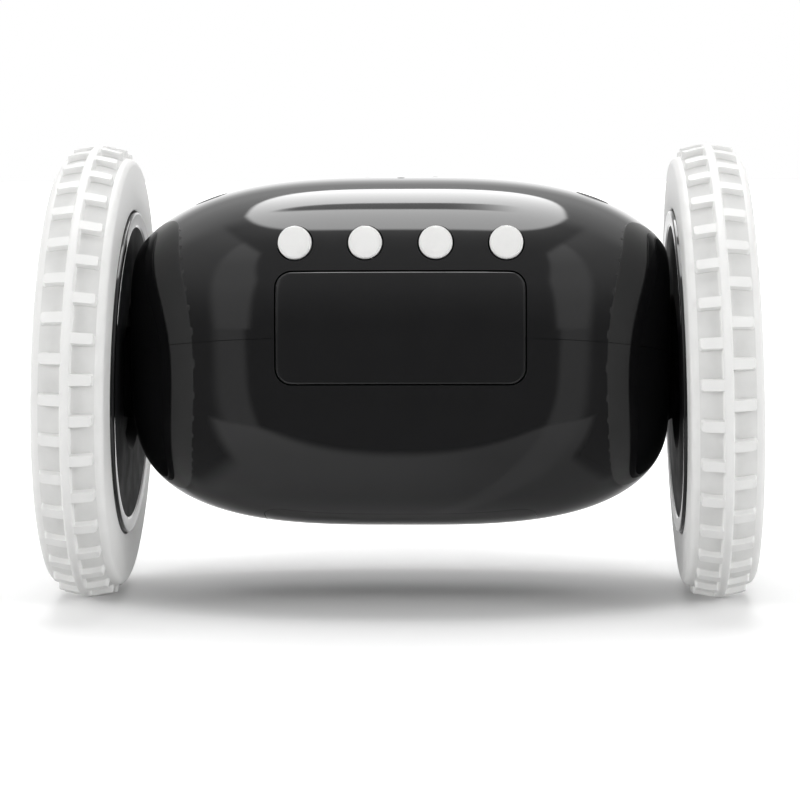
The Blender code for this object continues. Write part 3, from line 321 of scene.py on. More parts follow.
def rounded(width, height, corner, angle_share):
    """A point on a rectangle with round corners, at a share of the way round it."""
    flat_x, flat_y = width / 2 - corner, height / 2 - corner
    lengths = [flat_y, math.pi / 2 * corner, 2 * flat_x, math.pi / 2 * corner, 2 * flat_y,
               math.pi / 2 * corner, 2 * flat_x, math.pi / 2 * corner, flat_y]
    at = angle_share * sum(lengths)
    side = 0
    while side < 8 and at > lengths[side]:
        at -= lengths[side]
        side += 1
    if side == 0:
        return width / 2, at
    if side == 8:
        return width / 2, at - flat_y
    if side % 2:
        turn = (side // 2) * math.pi / 2 + at / corner
        middle_x = flat_x if side in (1, 7) else -flat_x
        middle_y = flat_y if side in (1, 3) else -flat_y
        return middle_x + corner * math.cos(turn), middle_y + corner * math.sin(turn)
    return {2: (flat_x - at, height / 2), 4: (-width / 2, flat_y - at), 6: (at - flat_x, -height / 2)}[side]


def conformed(name, matrix, size, corner, proud, easing, depth, x_shift=0.0, around=144, rings=14):
    """A rounded or round piece whose face follows the body's skin, with an eased edge and a closed back."""
    width, height = size
    bpy.ops.mesh.primitive_circle_add(vertices=around, fill_type="NGON", radius=1)
    piece = added(name)
    edit(piece)
    for ring in range(rings - 1):
        bpy.ops.mesh.select_all(action="DESELECT")
        shape = bmesh.from_edit_mesh(piece.data)
        face = max(shape.faces, key=lambda one: len(one.verts))
        inner = 1 - (ring + 1) / rings
        face.select_set(True)
        bmesh.update_edit_mesh(piece.data)
        outer = 1 - ring / rings
        bpy.ops.mesh.inset(thickness=0, depth=0)
        bpy.ops.transform.resize(value=(inner / outer,) * 3, center_override=(0, 0, 0))
    bpy.ops.mesh.poke()
    bpy.ops.object.mode_set(mode="OBJECT")
    turns = 5
    edge_steps = [(easing * (1 - math.sin(a)), easing * (1 - math.cos(a))) for a in
                  (math.pi / 2 * step / turns for step in range(turns + 1))]

    def put(co, inset, drop):
        share = math.atan2(co.y, co.x) / FULL_TURN % 1
        spread = min(math.hypot(co.x, co.y), 1)
        edge_x, edge_y = rounded(width - 2 * inset, height - 2 * inset, max(corner - inset, 0.05 * MM), share)
        x, y = x_shift + edge_x * spread, edge_y * spread
        return Vector((x, y, skin_along(matrix, x, y) + proud - drop))

    points = piece.data.vertices
    rim = sorted((point.index for point in points if point.co.xy.length > 1 - 0.3 / rings),
                 key=lambda i: math.atan2(points[i].co.y, points[i].co.x) % FULL_TURN)
    unit = {i: points[i].co.copy() for i in rim}
    form(piece, lambda co: put(co, easing, 0))
    shape = bmesh.new()
    shape.from_mesh(piece.data)
    shape.verts.ensure_lookup_table()
    last = [shape.verts[i] for i in rim]
    levels = [(inset, drop) for inset, drop in edge_steps[1:]] + [(0, depth)]
    for inset, drop in levels:
        loop = [shape.verts.new(put(unit[i], inset, drop)) for i in rim]
        for here in range(len(rim)):
            following = (here + 1) % len(rim)
            shape.faces.new((last[here], loop[here], loop[following], last[following]))
        last = loop
    shape.faces.new(last)
    shape.to_mesh(piece.data)
    shape.free()
    close(piece, 35)
    return settle(piece, matrix)


# Materials

def finish(name, colour, roughness, metallic=0.0, coat=0.0, mottle=0.04, mottle_scale=180, rough_spread=0.04,
           grain=0.0, grain_scale=2600, wave=0.0, wave_scale=140, ior=1.5):
    """A moulded or metal finish: a slow mottle in colour and sheen, over a fine grain and a slow wave."""
    made = bpy.data.materials.new(name)
    made.use_nodes = True
    nodes, links = made.node_tree.nodes, made.node_tree.links
    shader = nodes["Principled BSDF"]
    shader.inputs["Metallic"].default_value = metallic
    shader.inputs["IOR"].default_value = ior
    shader.inputs["Coat Weight"].default_value = coat
    place = nodes.new("ShaderNodeTexCoord")
    mottled = nodes.new("ShaderNodeTexNoise")
    mottled.inputs["Scale"].default_value = mottle_scale
    mottled.inputs["Detail"].default_value = 5
    links.new(place.outputs["Object"], mottled.inputs["Vector"])
    ramp = nodes.new("ShaderNodeValToRGB")
    for stop, at, factor in zip(ramp.color_ramp.elements, (0.3, 0.7), (1 - mottle, 1 + mottle)):
        stop.position = at
        stop.color = (*[min(channel * factor, 1) for channel in colour], 1)
    links.new(mottled.outputs["Fac"], ramp.inputs["Fac"])
    links.new(ramp.outputs["Color"], shader.inputs["Base Color"])
    sheen = nodes.new("ShaderNodeMapRange")
    sheen.inputs["From Min"].default_value = 0.3
    sheen.inputs["From Max"].default_value = 0.7
    sheen.inputs["To Min"].default_value = max(roughness - rough_spread, 0.02)
    sheen.inputs["To Max"].default_value = roughness + rough_spread
    links.new(mottled.outputs["Fac"], sheen.inputs["Value"])
    links.new(sheen.outputs["Result"], shader.inputs["Roughness"])
    last = None
    for strength, scale, distance in ((wave, wave_scale, 0.2 * MM), (grain, grain_scale, 0.05 * MM)):
        if not strength:
            continue
        noise = nodes.new("ShaderNodeTexNoise")
        noise.inputs["Scale"].default_value = scale
        noise.inputs["Detail"].default_value = 3
        links.new(place.outputs["Object"], noise.inputs["Vector"])
        bump = nodes.new("ShaderNodeBump")
        bump.inputs["Strength"].default_value = strength
        bump.inputs["Distance"].default_value = distance
        links.new(noise.outputs["Fac"], bump.inputs["Height"])
        if last:
            links.new(last.outputs["Normal"], bump.inputs["Normal"])
        last = bump
    if last:
        links.new(last.outputs["Normal"], shader.inputs["Normal"])
    return made


BLACK_SHELL = finish("polished_black_shell", (0.0062, 0.0062, 0.0066), 0.055, rough_spread=0.015, mottle=0.08,
                     wave=0.02, wave_scale=90, ior=1.5)
BLACK_KEY = finish("polished_black_key", (0.0066, 0.0066, 0.007), 0.09, rough_spread=0.02, mottle=0.08,
                   wave=0.02)
BLACK_HUB = finish("polished_black_hub", (0.0062, 0.0062, 0.0066), 0.07, rough_spread=0.02, mottle=0.08)
MATT_HUB = finish("matt_black_hub_disc", (0.008, 0.008, 0.0085), 0.6, rough_spread=0.08, mottle=0.1,
                  grain=0.3, ior=1.12)
WHITE_RUBBER = finish("white_tyre_rubber", (0.80, 0.80, 0.79), 0.46, rough_spread=0.07, mottle=0.02,
                      grain=0.25, grain_scale=3200, wave=0.06, wave_scale=420)
# The recess floors between the lugs get the same white rubber painted darker, 0.70 against 0.80: painted shade
# in the tread's hollows.
TREAD_FLOOR_PAINTED_SHADE = finish("white_tread_floor_painted_shade", (0.70, 0.70, 0.69), 0.6, rough_spread=0.08, mottle=0.05,
                     grain=0.35, grain_scale=3200, wave=0.06, wave_scale=420)
WHITE_BUTTON = finish("white_matt_button", (0.77, 0.77, 0.76), 0.5, rough_spread=0.05, mottle=0.015,
                      grain=0.2)
GREY_PLUG = finish("grey_plug_rubber", (0.055, 0.055, 0.056), 0.7, grain=0.4, grain_scale=4000)
DARK_PLASTIC = finish("dark_inner_plastic", (0.03, 0.03, 0.03), 0.5, grain=0.2)
NATURAL_PLASTIC = finish("natural_nylon", (0.72, 0.70, 0.64), 0.42, grain=0.15)
STEEL = finish("bright_steel", (0.62, 0.62, 0.63), 0.28, metallic=1, grain=0.1, mottle=0.06)
MOTOR_CAN = finish("motor_can_steel", (0.55, 0.55, 0.56), 0.35, metallic=1, grain=0.15, mottle=0.08)
BRASS = finish("turned_brass", (0.72, 0.55, 0.26), 0.3, metallic=1, mottle=0.06)
BOARD_GREEN = finish("board_solder_mask", (0.02, 0.14, 0.06), 0.35, mottle=0.15, mottle_scale=900)
CELL_WRAP = finish("cell_wrap_blue", (0.05, 0.10, 0.22), 0.3, mottle=0.05)
LCD_GLASS = finish("liquid_crystal_glass", (0.36, 0.39, 0.32), 0.12, mottle=0.02, mottle_scale=60)
LCD_INK = finish("liquid_crystal_digits", (0.03, 0.032, 0.03), 0.3)
CLEAR_WINDOW = finish("clear_smoked_window", (0.75, 0.77, 0.77), 0.03, rough_spread=0.01, mottle=0.01)
CLEAR_WINDOW.node_tree.nodes["Principled BSDF"].inputs["Transmission Weight"].default_value = 1.0

NODE_FINISHES = {
    DARK_PLASTIC: ("lcd_frame", "snooze_switch", "hour_switch", "minute_switch", "alarm_switch",
                   "time_switch", "left_gear_frame", "right_gear_frame"),
    NATURAL_PLASTIC: ("battery_tray", "left_output_gear", "right_output_gear", "left_idler_gear",
                      "right_idler_gear"),
    STEEL: ("left_wheel_screw", "right_wheel_screw", "left_output_shaft", "right_output_shaft",
            "left_idler_pin", "right_idler_pin", "left_shell_screw", "right_shell_screw",
            "left_battery_contact", "right_battery_contact", "speaker"),
    MOTOR_CAN: ("left_motor", "right_motor"),
    BRASS: ("left_motor_pinion", "right_motor_pinion", "left_axle_bush", "right_axle_bush"),
    BOARD_GREEN: ("main_board", "key_board"),
    CELL_WRAP: ("battery_1", "battery_2", "battery_3", "battery_4"),
    LCD_GLASS: ("lcd_panel",),
}
for material, names in NODE_FINISHES.items():
    for name in names:
        NODES[name].data.materials.clear()
        NODES[name].data.materials.append(material)


# Shells

def block(name, matrix, low, high):
    """A cutting block between two corners of a frame."""
    bpy.ops.mesh.primitive_cube_add(size=1)
    piece = added(name)
    form(piece, lambda co: Vector([low[i] if co[i] < 0 else high[i] for i in range(3)]))
    return settle(piece, matrix)


def rod_cutter(matrix, x, y, radius, low, high, vertices=64):
    bpy.ops.mesh.primitive_cylinder_add(vertices=vertices, radius=radius, depth=high - low)
    piece = added("rod_cutter")
    form(piece, lambda co: co + Vector((x, y, (low + high) / 2)))
    return settle(piece, matrix)


def slab_cutter(matrix, size, corner, low, high, x_shift=0.0, around=144):
    bpy.ops.mesh.primitive_cylinder_add(vertices=around, radius=1, depth=high - low)
    piece = added("slab_cutter")

    def rule(co):
        x, y = rounded(*size, corner, math.atan2(co.y, co.x) / FULL_TURN % 1)
        return Vector((x + x_shift, y, co.z + (low + high) / 2))

    return settle(form(piece, rule), matrix)


def true_normals(piece):
    """Gives faces on the skin the exact slope of the body's form, so cuts leave no mark in the gloss."""
    mesh = piece.data
    normals = [Vector(corner.vector) for corner in mesh.corner_normals]
    on_skin = {}
    for face in mesh.polygons:
        for loop in face.loop_indices:
            point = mesh.vertices[mesh.loops[loop].vertex_index].co
            if abs(point.x) > 0.985 * BODY_HALF_LENGTH:
                continue
            key = mesh.loops[loop].vertex_index
            if key not in on_skin:
                near = abs(inside(point.x, point.y, point.z - AXLE_HEIGHT) - 1) < 0.004
                on_skin[key] = skin_normal(point) if near else None
            if on_skin[key] and on_skin[key].dot(face.normal) > 0.94:
                normals[loop] = on_skin[key]
    mesh.normals_split_custom_set([tuple(normal) for normal in normals])


def shells():
    """The hollow body with all its openings, parted along the seam that tilts up towards the keys."""
    whole = pebble("whole_body", 0, 128, 224)
    neck_outline = eased([
        (3.9 * MM, NECK_END),
        (9.0 * MM, NECK_END, 0.4 * MM),
        (9.0 * MM, BODY_END + 0.3 * MM, 2.2 * MM),
        (14.5 * MM, BODY_END - 1.1 * MM),
        (3.9 * MM, BODY_END - 1.1 * MM),
    ], 8)
    for word in SIDES:
        neck = settle(close(spun("neck_shape", neck_outline, 96)), WHEEL_FRAMES[word])
        cut(whole, neck, "UNION")
    cut(whole, pebble("hollow", WALL, 48, 96))
    openings = []
    for word in SIDES:
        openings.append(rod_cutter(WHEEL_FRAMES[word], 0, 0, 4.3 * MM, BODY_END - 6 * MM, HUB_HALF))
    snooze = (SNOOZE_SIZE[0] + 2 * KEY_GAP, SNOOZE_SIZE[1] + 2 * KEY_GAP)
    openings.append(slab_cutter(KEY_FRAME, snooze, SNOOZE_CORNER + KEY_GAP, 20 * MM, FAR_OUT, KEY_SHIFT))
    for place in range(4):
        x = KEY_SHIFT + BUTTON_SPACING * (place - 1.5)
        openings.append(rod_cutter(KEY_FRAME, x, BUTTON_UP, BUTTON_RADIUS + GAP, 15 * MM, FAR_OUT))
    window = (WINDOW_SIZE[0] + 2 * GAP, WINDOW_SIZE[1] + 2 * GAP)
    openings.append(slab_cutter(DISPLAY_FRAME, window, WINDOW_CORNER + GAP, 20 * MM, FAR_OUT))
    door = (DOOR_SIZE[0] + 2 * DOOR_GAP, DOOR_SIZE[1] + DOOR_GAP + DOOR_HINGE_GAP)
    behind = AXLE_FRAME @ Matrix.Translation((0, (DOOR_HINGE_GAP - DOOR_GAP) / 2, 0))
    openings.append(slab_cutter(behind, door, DOOR_CORNER + DOOR_GAP, -FAR_OUT, -18 * MM))
    holes = [(0, 0)]
    for hole in range(6):
        angle = math.radians(-90) + FULL_TURN * hole / 6
        holes.append((HOLE_RING_RADIUS * math.cos(angle), HOLE_RING_RADIUS * math.sin(angle)))
    for x, y in holes:
        openings.append(rod_cutter(AXLE_FRAME, x, y, HOLE_RADIUS, 25 * MM, FAR_OUT, 24))
    for side in SIDES.values():
        hole = PLUG_RADIUS + 0.12 * MM
        openings.append(rod_cutter(AXLE_FRAME, side * SCREW_OUT, -SCREW_FORWARD, hole, 25 * MM, FAR_OUT))
    cut(whole, joined(openings))
    tilt = AXLE_FRAME @ Matrix.Rotation(-SEAM_TILT, 4, "X")
    reach = 100 * MM
    for name, low, high in (("upper_shell", 0.04 * MM, reach), ("lower_shell", -reach, -0.04 * MM)):
        half = whole.copy()
        half.data = whole.data.copy()
        bpy.context.scene.collection.objects.link(half)
        half.name = f"{name}_skin"
        cut(half, block("half_space", tilt, (-reach, -reach, low), (reach, reach, high)), "INTERSECT")
        close(half, 30)
        true_normals(half)
        dress(half, BLACK_SHELL, "housing", "black_shell", name)
    bpy.data.objects.remove(whole)


def plugs():
    for word, side in SIDES.items():
        where = AXLE_FRAME @ Matrix.Translation((side * SCREW_OUT, -SCREW_FORWARD, 0))
        size = (2 * PLUG_RADIUS,) * 2
        plug = conformed(f"{word}_plug", where, size, PLUG_RADIUS, -0.12 * MM, 0.25 * MM, 1.4 * MM,
                         around=64, rings=6)
        dress(plug, GREY_PLUG, "housing", "grey_plug", f"{word}_screw_plug")


# Keys

def snooze_key():
    key = conformed("snooze_key_cap", KEY_FRAME, SNOOZE_SIZE, SNOOZE_CORNER, 0.15 * MM, 0.45 * MM, 2.6 * MM,
                    KEY_SHIFT, 176, 18)
    dress(key, BLACK_KEY, "snooze_key", "black_key", "snooze_key")


def buttons():
    top = skin_along(KEY_FRAME, 0, BUTTON_UP) + BUTTON_PROUD
    outline = eased([
        (0, top + 0.12 * MM),
        (BUTTON_RADIUS * 0.55, top + 0.08 * MM, 2 * MM),
        (BUTTON_RADIUS, top - 0.05 * MM, 0.55 * MM),
        (BUTTON_RADIUS, top - 5.2 * MM),
        (0, top - 5.2 * MM),
    ], 8)
    for place, name in enumerate(BUTTONS):
        x = KEY_SHIFT + BUTTON_SPACING * (place - 1.5)
        cap = close(spun(f"{name}_cap", outline, 72))
        settle(cap, KEY_FRAME @ Matrix.Translation((x, BUTTON_UP, 0)))
        dress(cap, WHITE_BUTTON, name, "white_button", name)


# Display

def window():
    pane = conformed("window_pane", DISPLAY_FRAME, WINDOW_SIZE, WINDOW_CORNER, 0, 0.3 * MM, 2.0 * MM,
                     rings=12)
    dress(pane, CLEAR_WINDOW, "housing", "clear_window", "display_window")


def ink_bar(x, y, length, upright):
    """One bar of a digit, with pointed ends."""
    radius = DIGIT_BAR / 2
    bpy.ops.mesh.primitive_cylinder_add(vertices=6, radius=radius, depth=INK_THICKNESS)
    stretch = length / 2 - radius

    def rule(co):
        along = co.y + math.copysign(stretch, co.y)
        across, up = (co.x, along) if upright else (-along, co.x)
        return Vector((x + across + DIGIT_SLANT * (y + up), y + up, co.z))

    return form(added("ink_bar"), rule)


def digits():
    """The time on the display, in plain bars, with two dots between hours and minutes."""
    glass = NODES["lcd_panel"]
    front = max((DISPLAY_FRAME.inverted() @ vertex.co).z for vertex in glass.data.vertices)
    half_width, half_height = DIGIT_SIZE[0] / 2, DIGIT_SIZE[1] / 2
    quarter = half_height / 2
    wide, tall = DIGIT_SIZE[0] - 0.5 * DIGIT_BAR, half_height - 0.5 * DIGIT_BAR
    bars = {
        "top": (0, half_height, wide, False),
        "middle": (0, 0, wide, False),
        "bottom": (0, -half_height, wide, False),
        "right_up": (half_width, quarter, tall, True),
        "right_down": (half_width, -quarter, tall, True),
        "left_up": (-half_width, quarter, tall, True),
        "left_down": (-half_width, -quarter, tall, True),
    }
    unlit = {"0": ("middle",), "1": ("top", "middle", "bottom", "left_up", "left_down"), "8": ()}
    places = (-2, -1, 0, 1, 2)
    pieces = []
    for place, sign in zip(places, TIME_SHOWN):
        centre = place * DIGIT_STEP * (0.9 if abs(place) == 2 else 0.8)
        if sign == ":":
            pieces += [ink_bar(centre, side * half_height / 2.4, DIGIT_BAR, True) for side in (-1, 1)]
            continue
        for name, (x, y, length, upright) in bars.items():
            if name not in unlit[sign]:
                pieces.append(ink_bar(centre + x, y, length, upright))
    piece = joined(pieces)
    piece.name = "clock_digits"
    settle(piece, DISPLAY_FRAME @ Matrix.Translation((0, 0, front + 0.6 * INK_THICKNESS)))
    dress(piece, LCD_INK, "housing", "lcd")


def door():
    """The battery door, which carries on the form of the lower shell."""
    under = AXLE_FRAME @ Matrix.Rotation(math.pi, 4, "X")
    lid = conformed("battery_door_lid", under, DOOR_SIZE, DOOR_CORNER, 0, 0.1 * MM, 1.9 * MM)
    dress(lid, BLACK_SHELL, "battery_door", "black_shell", "battery_door")


# Tyres

def tread_top(out):
    """The carcass radius over the crown, from the rib's foot to the shoulder."""
    share = min(max((out - 1.15 * MM) / (4.05 * MM), 0), 1)
    return WHEEL_RADIUS - 1.45 * MM - 0.95 * MM * share**1.7


def ease(value):
    value = min(max(value, 0), 1)
    return value * value * (3 - 2 * value)


def lug_height(out, across):
    """How much of a lug stands at a place: 1 on its top, 0 beside it."""
    half_width, corner, soft = 1.12 * MM, 0.5 * MM, 0.14 * MM
    end = 5.05 * MM
    over_side = abs(across) - (half_width - corner)
    over_end = out - (end - corner)
    beyond = math.hypot(max(over_side, 0), max(over_end, 0)) + min(max(over_side, over_end), 0) - corner
    return ease(0.5 - beyond / (2 * soft))


def lugged(radius, out, across):
    """The tread's radius where a lug may stand on it."""
    top = WHEEL_RADIUS - 0.15 * MM - 0.7 * MM * ease((out - 0.8 * MM) / (4.6 * MM))
    return max(radius, radius + (top - radius) * lug_height(out, across))


def tyre(word):
    """One pitch of the tread with a lug on each side of the rib, repeated round the wheel."""
    pitch = FULL_TURN / LUG_PAIRS
    half_section = [(WHEEL_RADIUS, 0), (WHEEL_RADIUS, 0.55 * MM), (WHEEL_RADIUS - 0.1 * MM, 0.78 * MM),
                    (WHEEL_RADIUS - 0.33 * MM, 0.9 * MM), (WHEEL_RADIUS - 1.2 * MM, 0.94 * MM),
                    (WHEEL_RADIUS - 1.4 * MM, 1.02 * MM)]
    half_section += [(tread_top(out * MM), out * MM) for out in
                     (1.2, 1.7, 2.2, 2.8, 3.4, 3.9, 4.3, 4.55, 4.75, 4.91, 4.98, 5.05, 5.12, 5.19, 5.3)]
    shoulder = eased([(WHEEL_RADIUS - 2.45 * MM, 5.3 * MM), (WHEEL_RADIUS - 2.65 * MM, 6.8 * MM, 1.3 * MM),
                      (31.9 * MM, 6.8 * MM, 0.4 * MM), (31.9 * MM, 0)], 5)
    half_section += shoulder[1:-1]
    section_points = [(r, -z) for r, z in reversed(half_section[1:])] + half_section
    section_points.append(section_points[0])
    steps = [0, 0.5, 0.75, 0.98, 1.05, 1.12, 1.19, 1.26, 1.5]
    half_pitch_mm = TREAD_MIDDLE_MM * pitch / 2
    one_side = steps + [half_pitch_mm - step for step in reversed(steps)]
    columns = [-value for value in reversed(one_side[1:])] + one_side
    bpy.ops.mesh.primitive_grid_add(
        x_subdivisions=len(columns) - 1, y_subdivisions=len(section_points) - 1, size=2)
    piece = added(f"{word}_tyre_rubber")

    def rule(co):
        column = round((co.x + 1) / 2 * (len(columns) - 1))
        radius, out = section_points[round((co.y + 1) / 2 * (len(section_points) - 1))]
        angle = columns[column] / TREAD_MIDDLE_MM
        across = columns[column] * MM
        if radius > WHEEL_RADIUS - 2.5 * MM and out < 0:
            radius = lugged(radius, -out, across)
        elif radius > WHEEL_RADIUS - 2.5 * MM and out > 0:
            radius = lugged(radius, out, (half_pitch_mm * MM - abs(across)))
        angle += LUG_TURNS[word]
        return Vector((radius * math.cos(angle), radius * math.sin(angle), out))

    form(piece, rule)
    edit(piece)
    bpy.ops.mesh.spin(
        steps=LUG_PAIRS - 1, dupli=True, angle=pitch * (LUG_PAIRS - 1), center=(0, 0, 0), axis=(0, 0, 1))
    bpy.ops.object.mode_set(mode="OBJECT")
    close(piece, 60)
    # The faces of the recess floors between the lugs take the second, darker rubber: painted shade in the
    # hollows.
    painted_shade_faces = []
    for face in piece.data.polygons:
        out = abs(face.center.z)
        if 1.0 * MM < out < 5.2 * MM and 41 * MM < face.center.xy.length < tread_top(out) + 0.3 * MM:
            painted_shade_faces.append(face.index)
    settle(piece, WHEEL_FRAMES[word])
    dress(piece, WHITE_RUBBER, f"{word}_wheel", "white_tyre", f"{word}_tyre")
    piece.data.materials.append(TREAD_FLOOR_PAINTED_SHADE)
    for number in painted_shade_faces:
        piece.data.polygons[number].material_index = 1


def wheel_centre(word):
    """The hub with its dished flange and central well, its outer cover and its cap."""
    disc = -HUB_HALF + DISC_STEP
    hub = eased([
        (31.6 * MM, HUB_HALF, 0.3 * MM),
        (31.6 * MM, -HUB_HALF, 0.35 * MM),
        (29.05 * MM, -HUB_HALF + 0.12 * MM, 0.2 * MM),
        (28.7 * MM, disc, 0.2 * MM),
        (15.25 * MM, disc, 0.35 * MM),
        (13.4 * MM, WELL_FLOOR, 0.3 * MM),
        (2.3 * MM, WELL_FLOOR),
        (2.3 * MM, WELL_FLOOR + 1.8 * MM),
        (29.6 * MM, WELL_FLOOR + 1.8 * MM),
        (29.6 * MM, HUB_HALF, 0.3 * MM),
    ])
    piece = close(spun(f"{word}_hub_dish", hub), 35)
    matt = [face.index for face in piece.data.polygons if
            face.center.z < WELL_FLOOR + 1 * MM and face.center.xy.length < 28.55 * MM]
    settle(piece, WHEEL_FRAMES[word])
    dress(piece, BLACK_HUB, f"{word}_wheel", "black_hub", f"{word}_hub")
    piece.data.materials.append(MATT_HUB)
    for number in matt:
        piece.data.polygons[number].material_index = 1
    face = HUB_HALF - DISC_STEP
    floor = face - WELL_DEPTH
    cover = eased([
        (29.3 * MM, face, 0.4 * MM),
        (29.3 * MM, face - 1.6 * MM),
        (16.85 * MM, face - 1.6 * MM),
        (15.0 * MM, floor - 1.6 * MM),
        (6.6 * MM, floor - 1.6 * MM),
        (6.6 * MM, floor, 0.2 * MM),
        (13.4 * MM, floor, 0.5 * MM),
        (15.25 * MM, face, 0.5 * MM),
    ])
    piece = settle(close(spun(f"{word}_cover_dish", cover), 35), WHEEL_FRAMES[word])
    dress(piece, BLACK_HUB, f"{word}_wheel", "black_hub", f"{word}_hub_cover")
    cap = eased([
        (0, floor + 1.3 * MM),
        (3.8 * MM, floor + 1.1 * MM, 6 * MM),
        (6.3 * MM, floor + 0.5 * MM, 0.3 * MM),
        (6.3 * MM, floor - 1.3 * MM),
        (0, floor - 1.3 * MM),
    ], 6)
    piece = settle(close(spun(f"{word}_cap_dome", cap), 35), WHEEL_FRAMES[word])
    dress(piece, BLACK_HUB, f"{word}_wheel", "black_hub", f"{word}_hub_cap")


shells()
plugs()
snooze_key()
buttons()
window()
digits()
door()
for word in SIDES:
    tyre(word)
    wheel_centre(word)


# Studio

# How far ahead of the keys the floor's painted reflection turns dark, nearer in the middle than out to the
# sides.
FLOOR_DARK_FROM = 0.069
FLOOR_DARK_SPREAD = 0.052
LIGHT_TOP = 2.0

# How bright the room is that the gloss shows, by degrees over the horizon
AHEAD = ((0, 0.16), (10, 0.28), (20, 0.40), (35, 0.45), (50, 0.50), (60, 0.62), (66, 0.78), (75, 1.1),
         (90, 1.2))
PANELS = ((0, 0.78), (10, 0.87), (20, 1.03), (35, 1.1), (47, 1.38), (56, 1.6), (90, 1.6))
BETWEEN = ((0, 0.22), (10, 0.37), (20, 0.57), (30, 0.72), (45, 0.85), (58, 1.1), (90, 1.3))
REAR = ((0, 1.6), (14, 1.5), (21, 1.05), (28, 0.85), (36, 1.1), (50, 1.3), (90, 1.3))
# How bright the floor glows to glossy rays where it is swapped: painted reflection, ahead, at the side panels
# and between.
FLOOR_AHEAD = 0.17
FLOOR_PANELS = 0.58
FLOOR_BETWEEN = 0.22
CANOPY = 6.9
CANOPY_CENTRE = 0.52
CANOPY_HALF = (0.385, 0.79)
SLOT_CENTRE = 0.39
SLOT_HALF = (0.24, 0.105)
AIR_LIGHT = 0.21


class Sums:
    """Short calls for the number nodes of one material or world."""

    def __init__(self, tree):
        self.nodes, self.links = tree.nodes, tree.links

    def put(self, socket, value):
        if isinstance(value, (int, float)):
            socket.default_value = value
        else:
            self.links.new(value, socket)

    def math(self, operation, first, second=0.0):
        node = self.nodes.new("ShaderNodeMath")
        node.operation = operation
        self.put(node.inputs[0], first)
        self.put(node.inputs[1], second)
        return node.outputs[0]

    def ramp(self, value, low, high, start=0.0, end=1.0):
        """Eases from start to end while the value goes from low to high."""
        node = self.nodes.new("ShaderNodeMapRange")
        node.interpolation_type = "SMOOTHSTEP"
        self.put(node.inputs["Value"], value)
        for name, number in (("From Min", low), ("From Max", high), ("To Min", start), ("To Max", end)):
            node.inputs[name].default_value = number
        return node.outputs["Result"]

    def mix(self, factor, first, second):
        node = self.nodes.new("ShaderNodeMix")
        node.data_type = "FLOAT"
        self.put(node.inputs["Factor"], factor)
        self.put(node.inputs["A"], first)
        self.put(node.inputs["B"], second)
        return node.outputs[0]

    def place(self, output):
        coordinates = self.nodes.new("ShaderNodeTexCoord")
        split = self.nodes.new("ShaderNodeSeparateXYZ")
        self.links.new(coordinates.outputs[output], split.inputs[0])
        return split.outputs

    def level(self, height, stops):
        """A brightness that follows a row of stops from the horizon up."""
        node = self.nodes.new("ShaderNodeValToRGB")
        bar = node.color_ramp.elements
        while len(bar) < len(stops):
            bar.new(0.5)
        for element, (degrees, value) in zip(bar, stops):
            element.position = degrees / 90
            element.color = (value / LIGHT_TOP,) * 3 + (1,)
        self.links.new(self.math("DIVIDE", height, 90), node.inputs["Fac"])
        return self.math("MULTIPLY", node.outputs["Color"], LIGHT_TOP)

    def turn(self, x, y):
        """Degrees to either side of straight ahead of the keys."""
        turned = self.math("ARCTAN2", self.math("ABSOLUTE", x), self.math("MULTIPLY", y, -1))
        return self.math("MULTIPLY", turned, 180 / math.pi)

    def oval(self, x, y, half, power):
        """Below 1 inside a rounded oval, 1 on its edge."""
        parts = [self.math("POWER", self.math("DIVIDE", self.math("ABSOLUTE", value), size), power)
                 for value, size in zip((x, y), half)]
        return self.math("ADD", *parts)


def zones(sums, inner_turn, outer_turn, ahead, panels, between):
    """Dim ahead, a tall bright panel at each side, and dim again beyond it."""
    past = sums.mix(sums.ramp(outer_turn, 38, 44.5), panels, between)
    return sums.mix(sums.ramp(inner_turn, 25.5, 28.5), ahead, past)


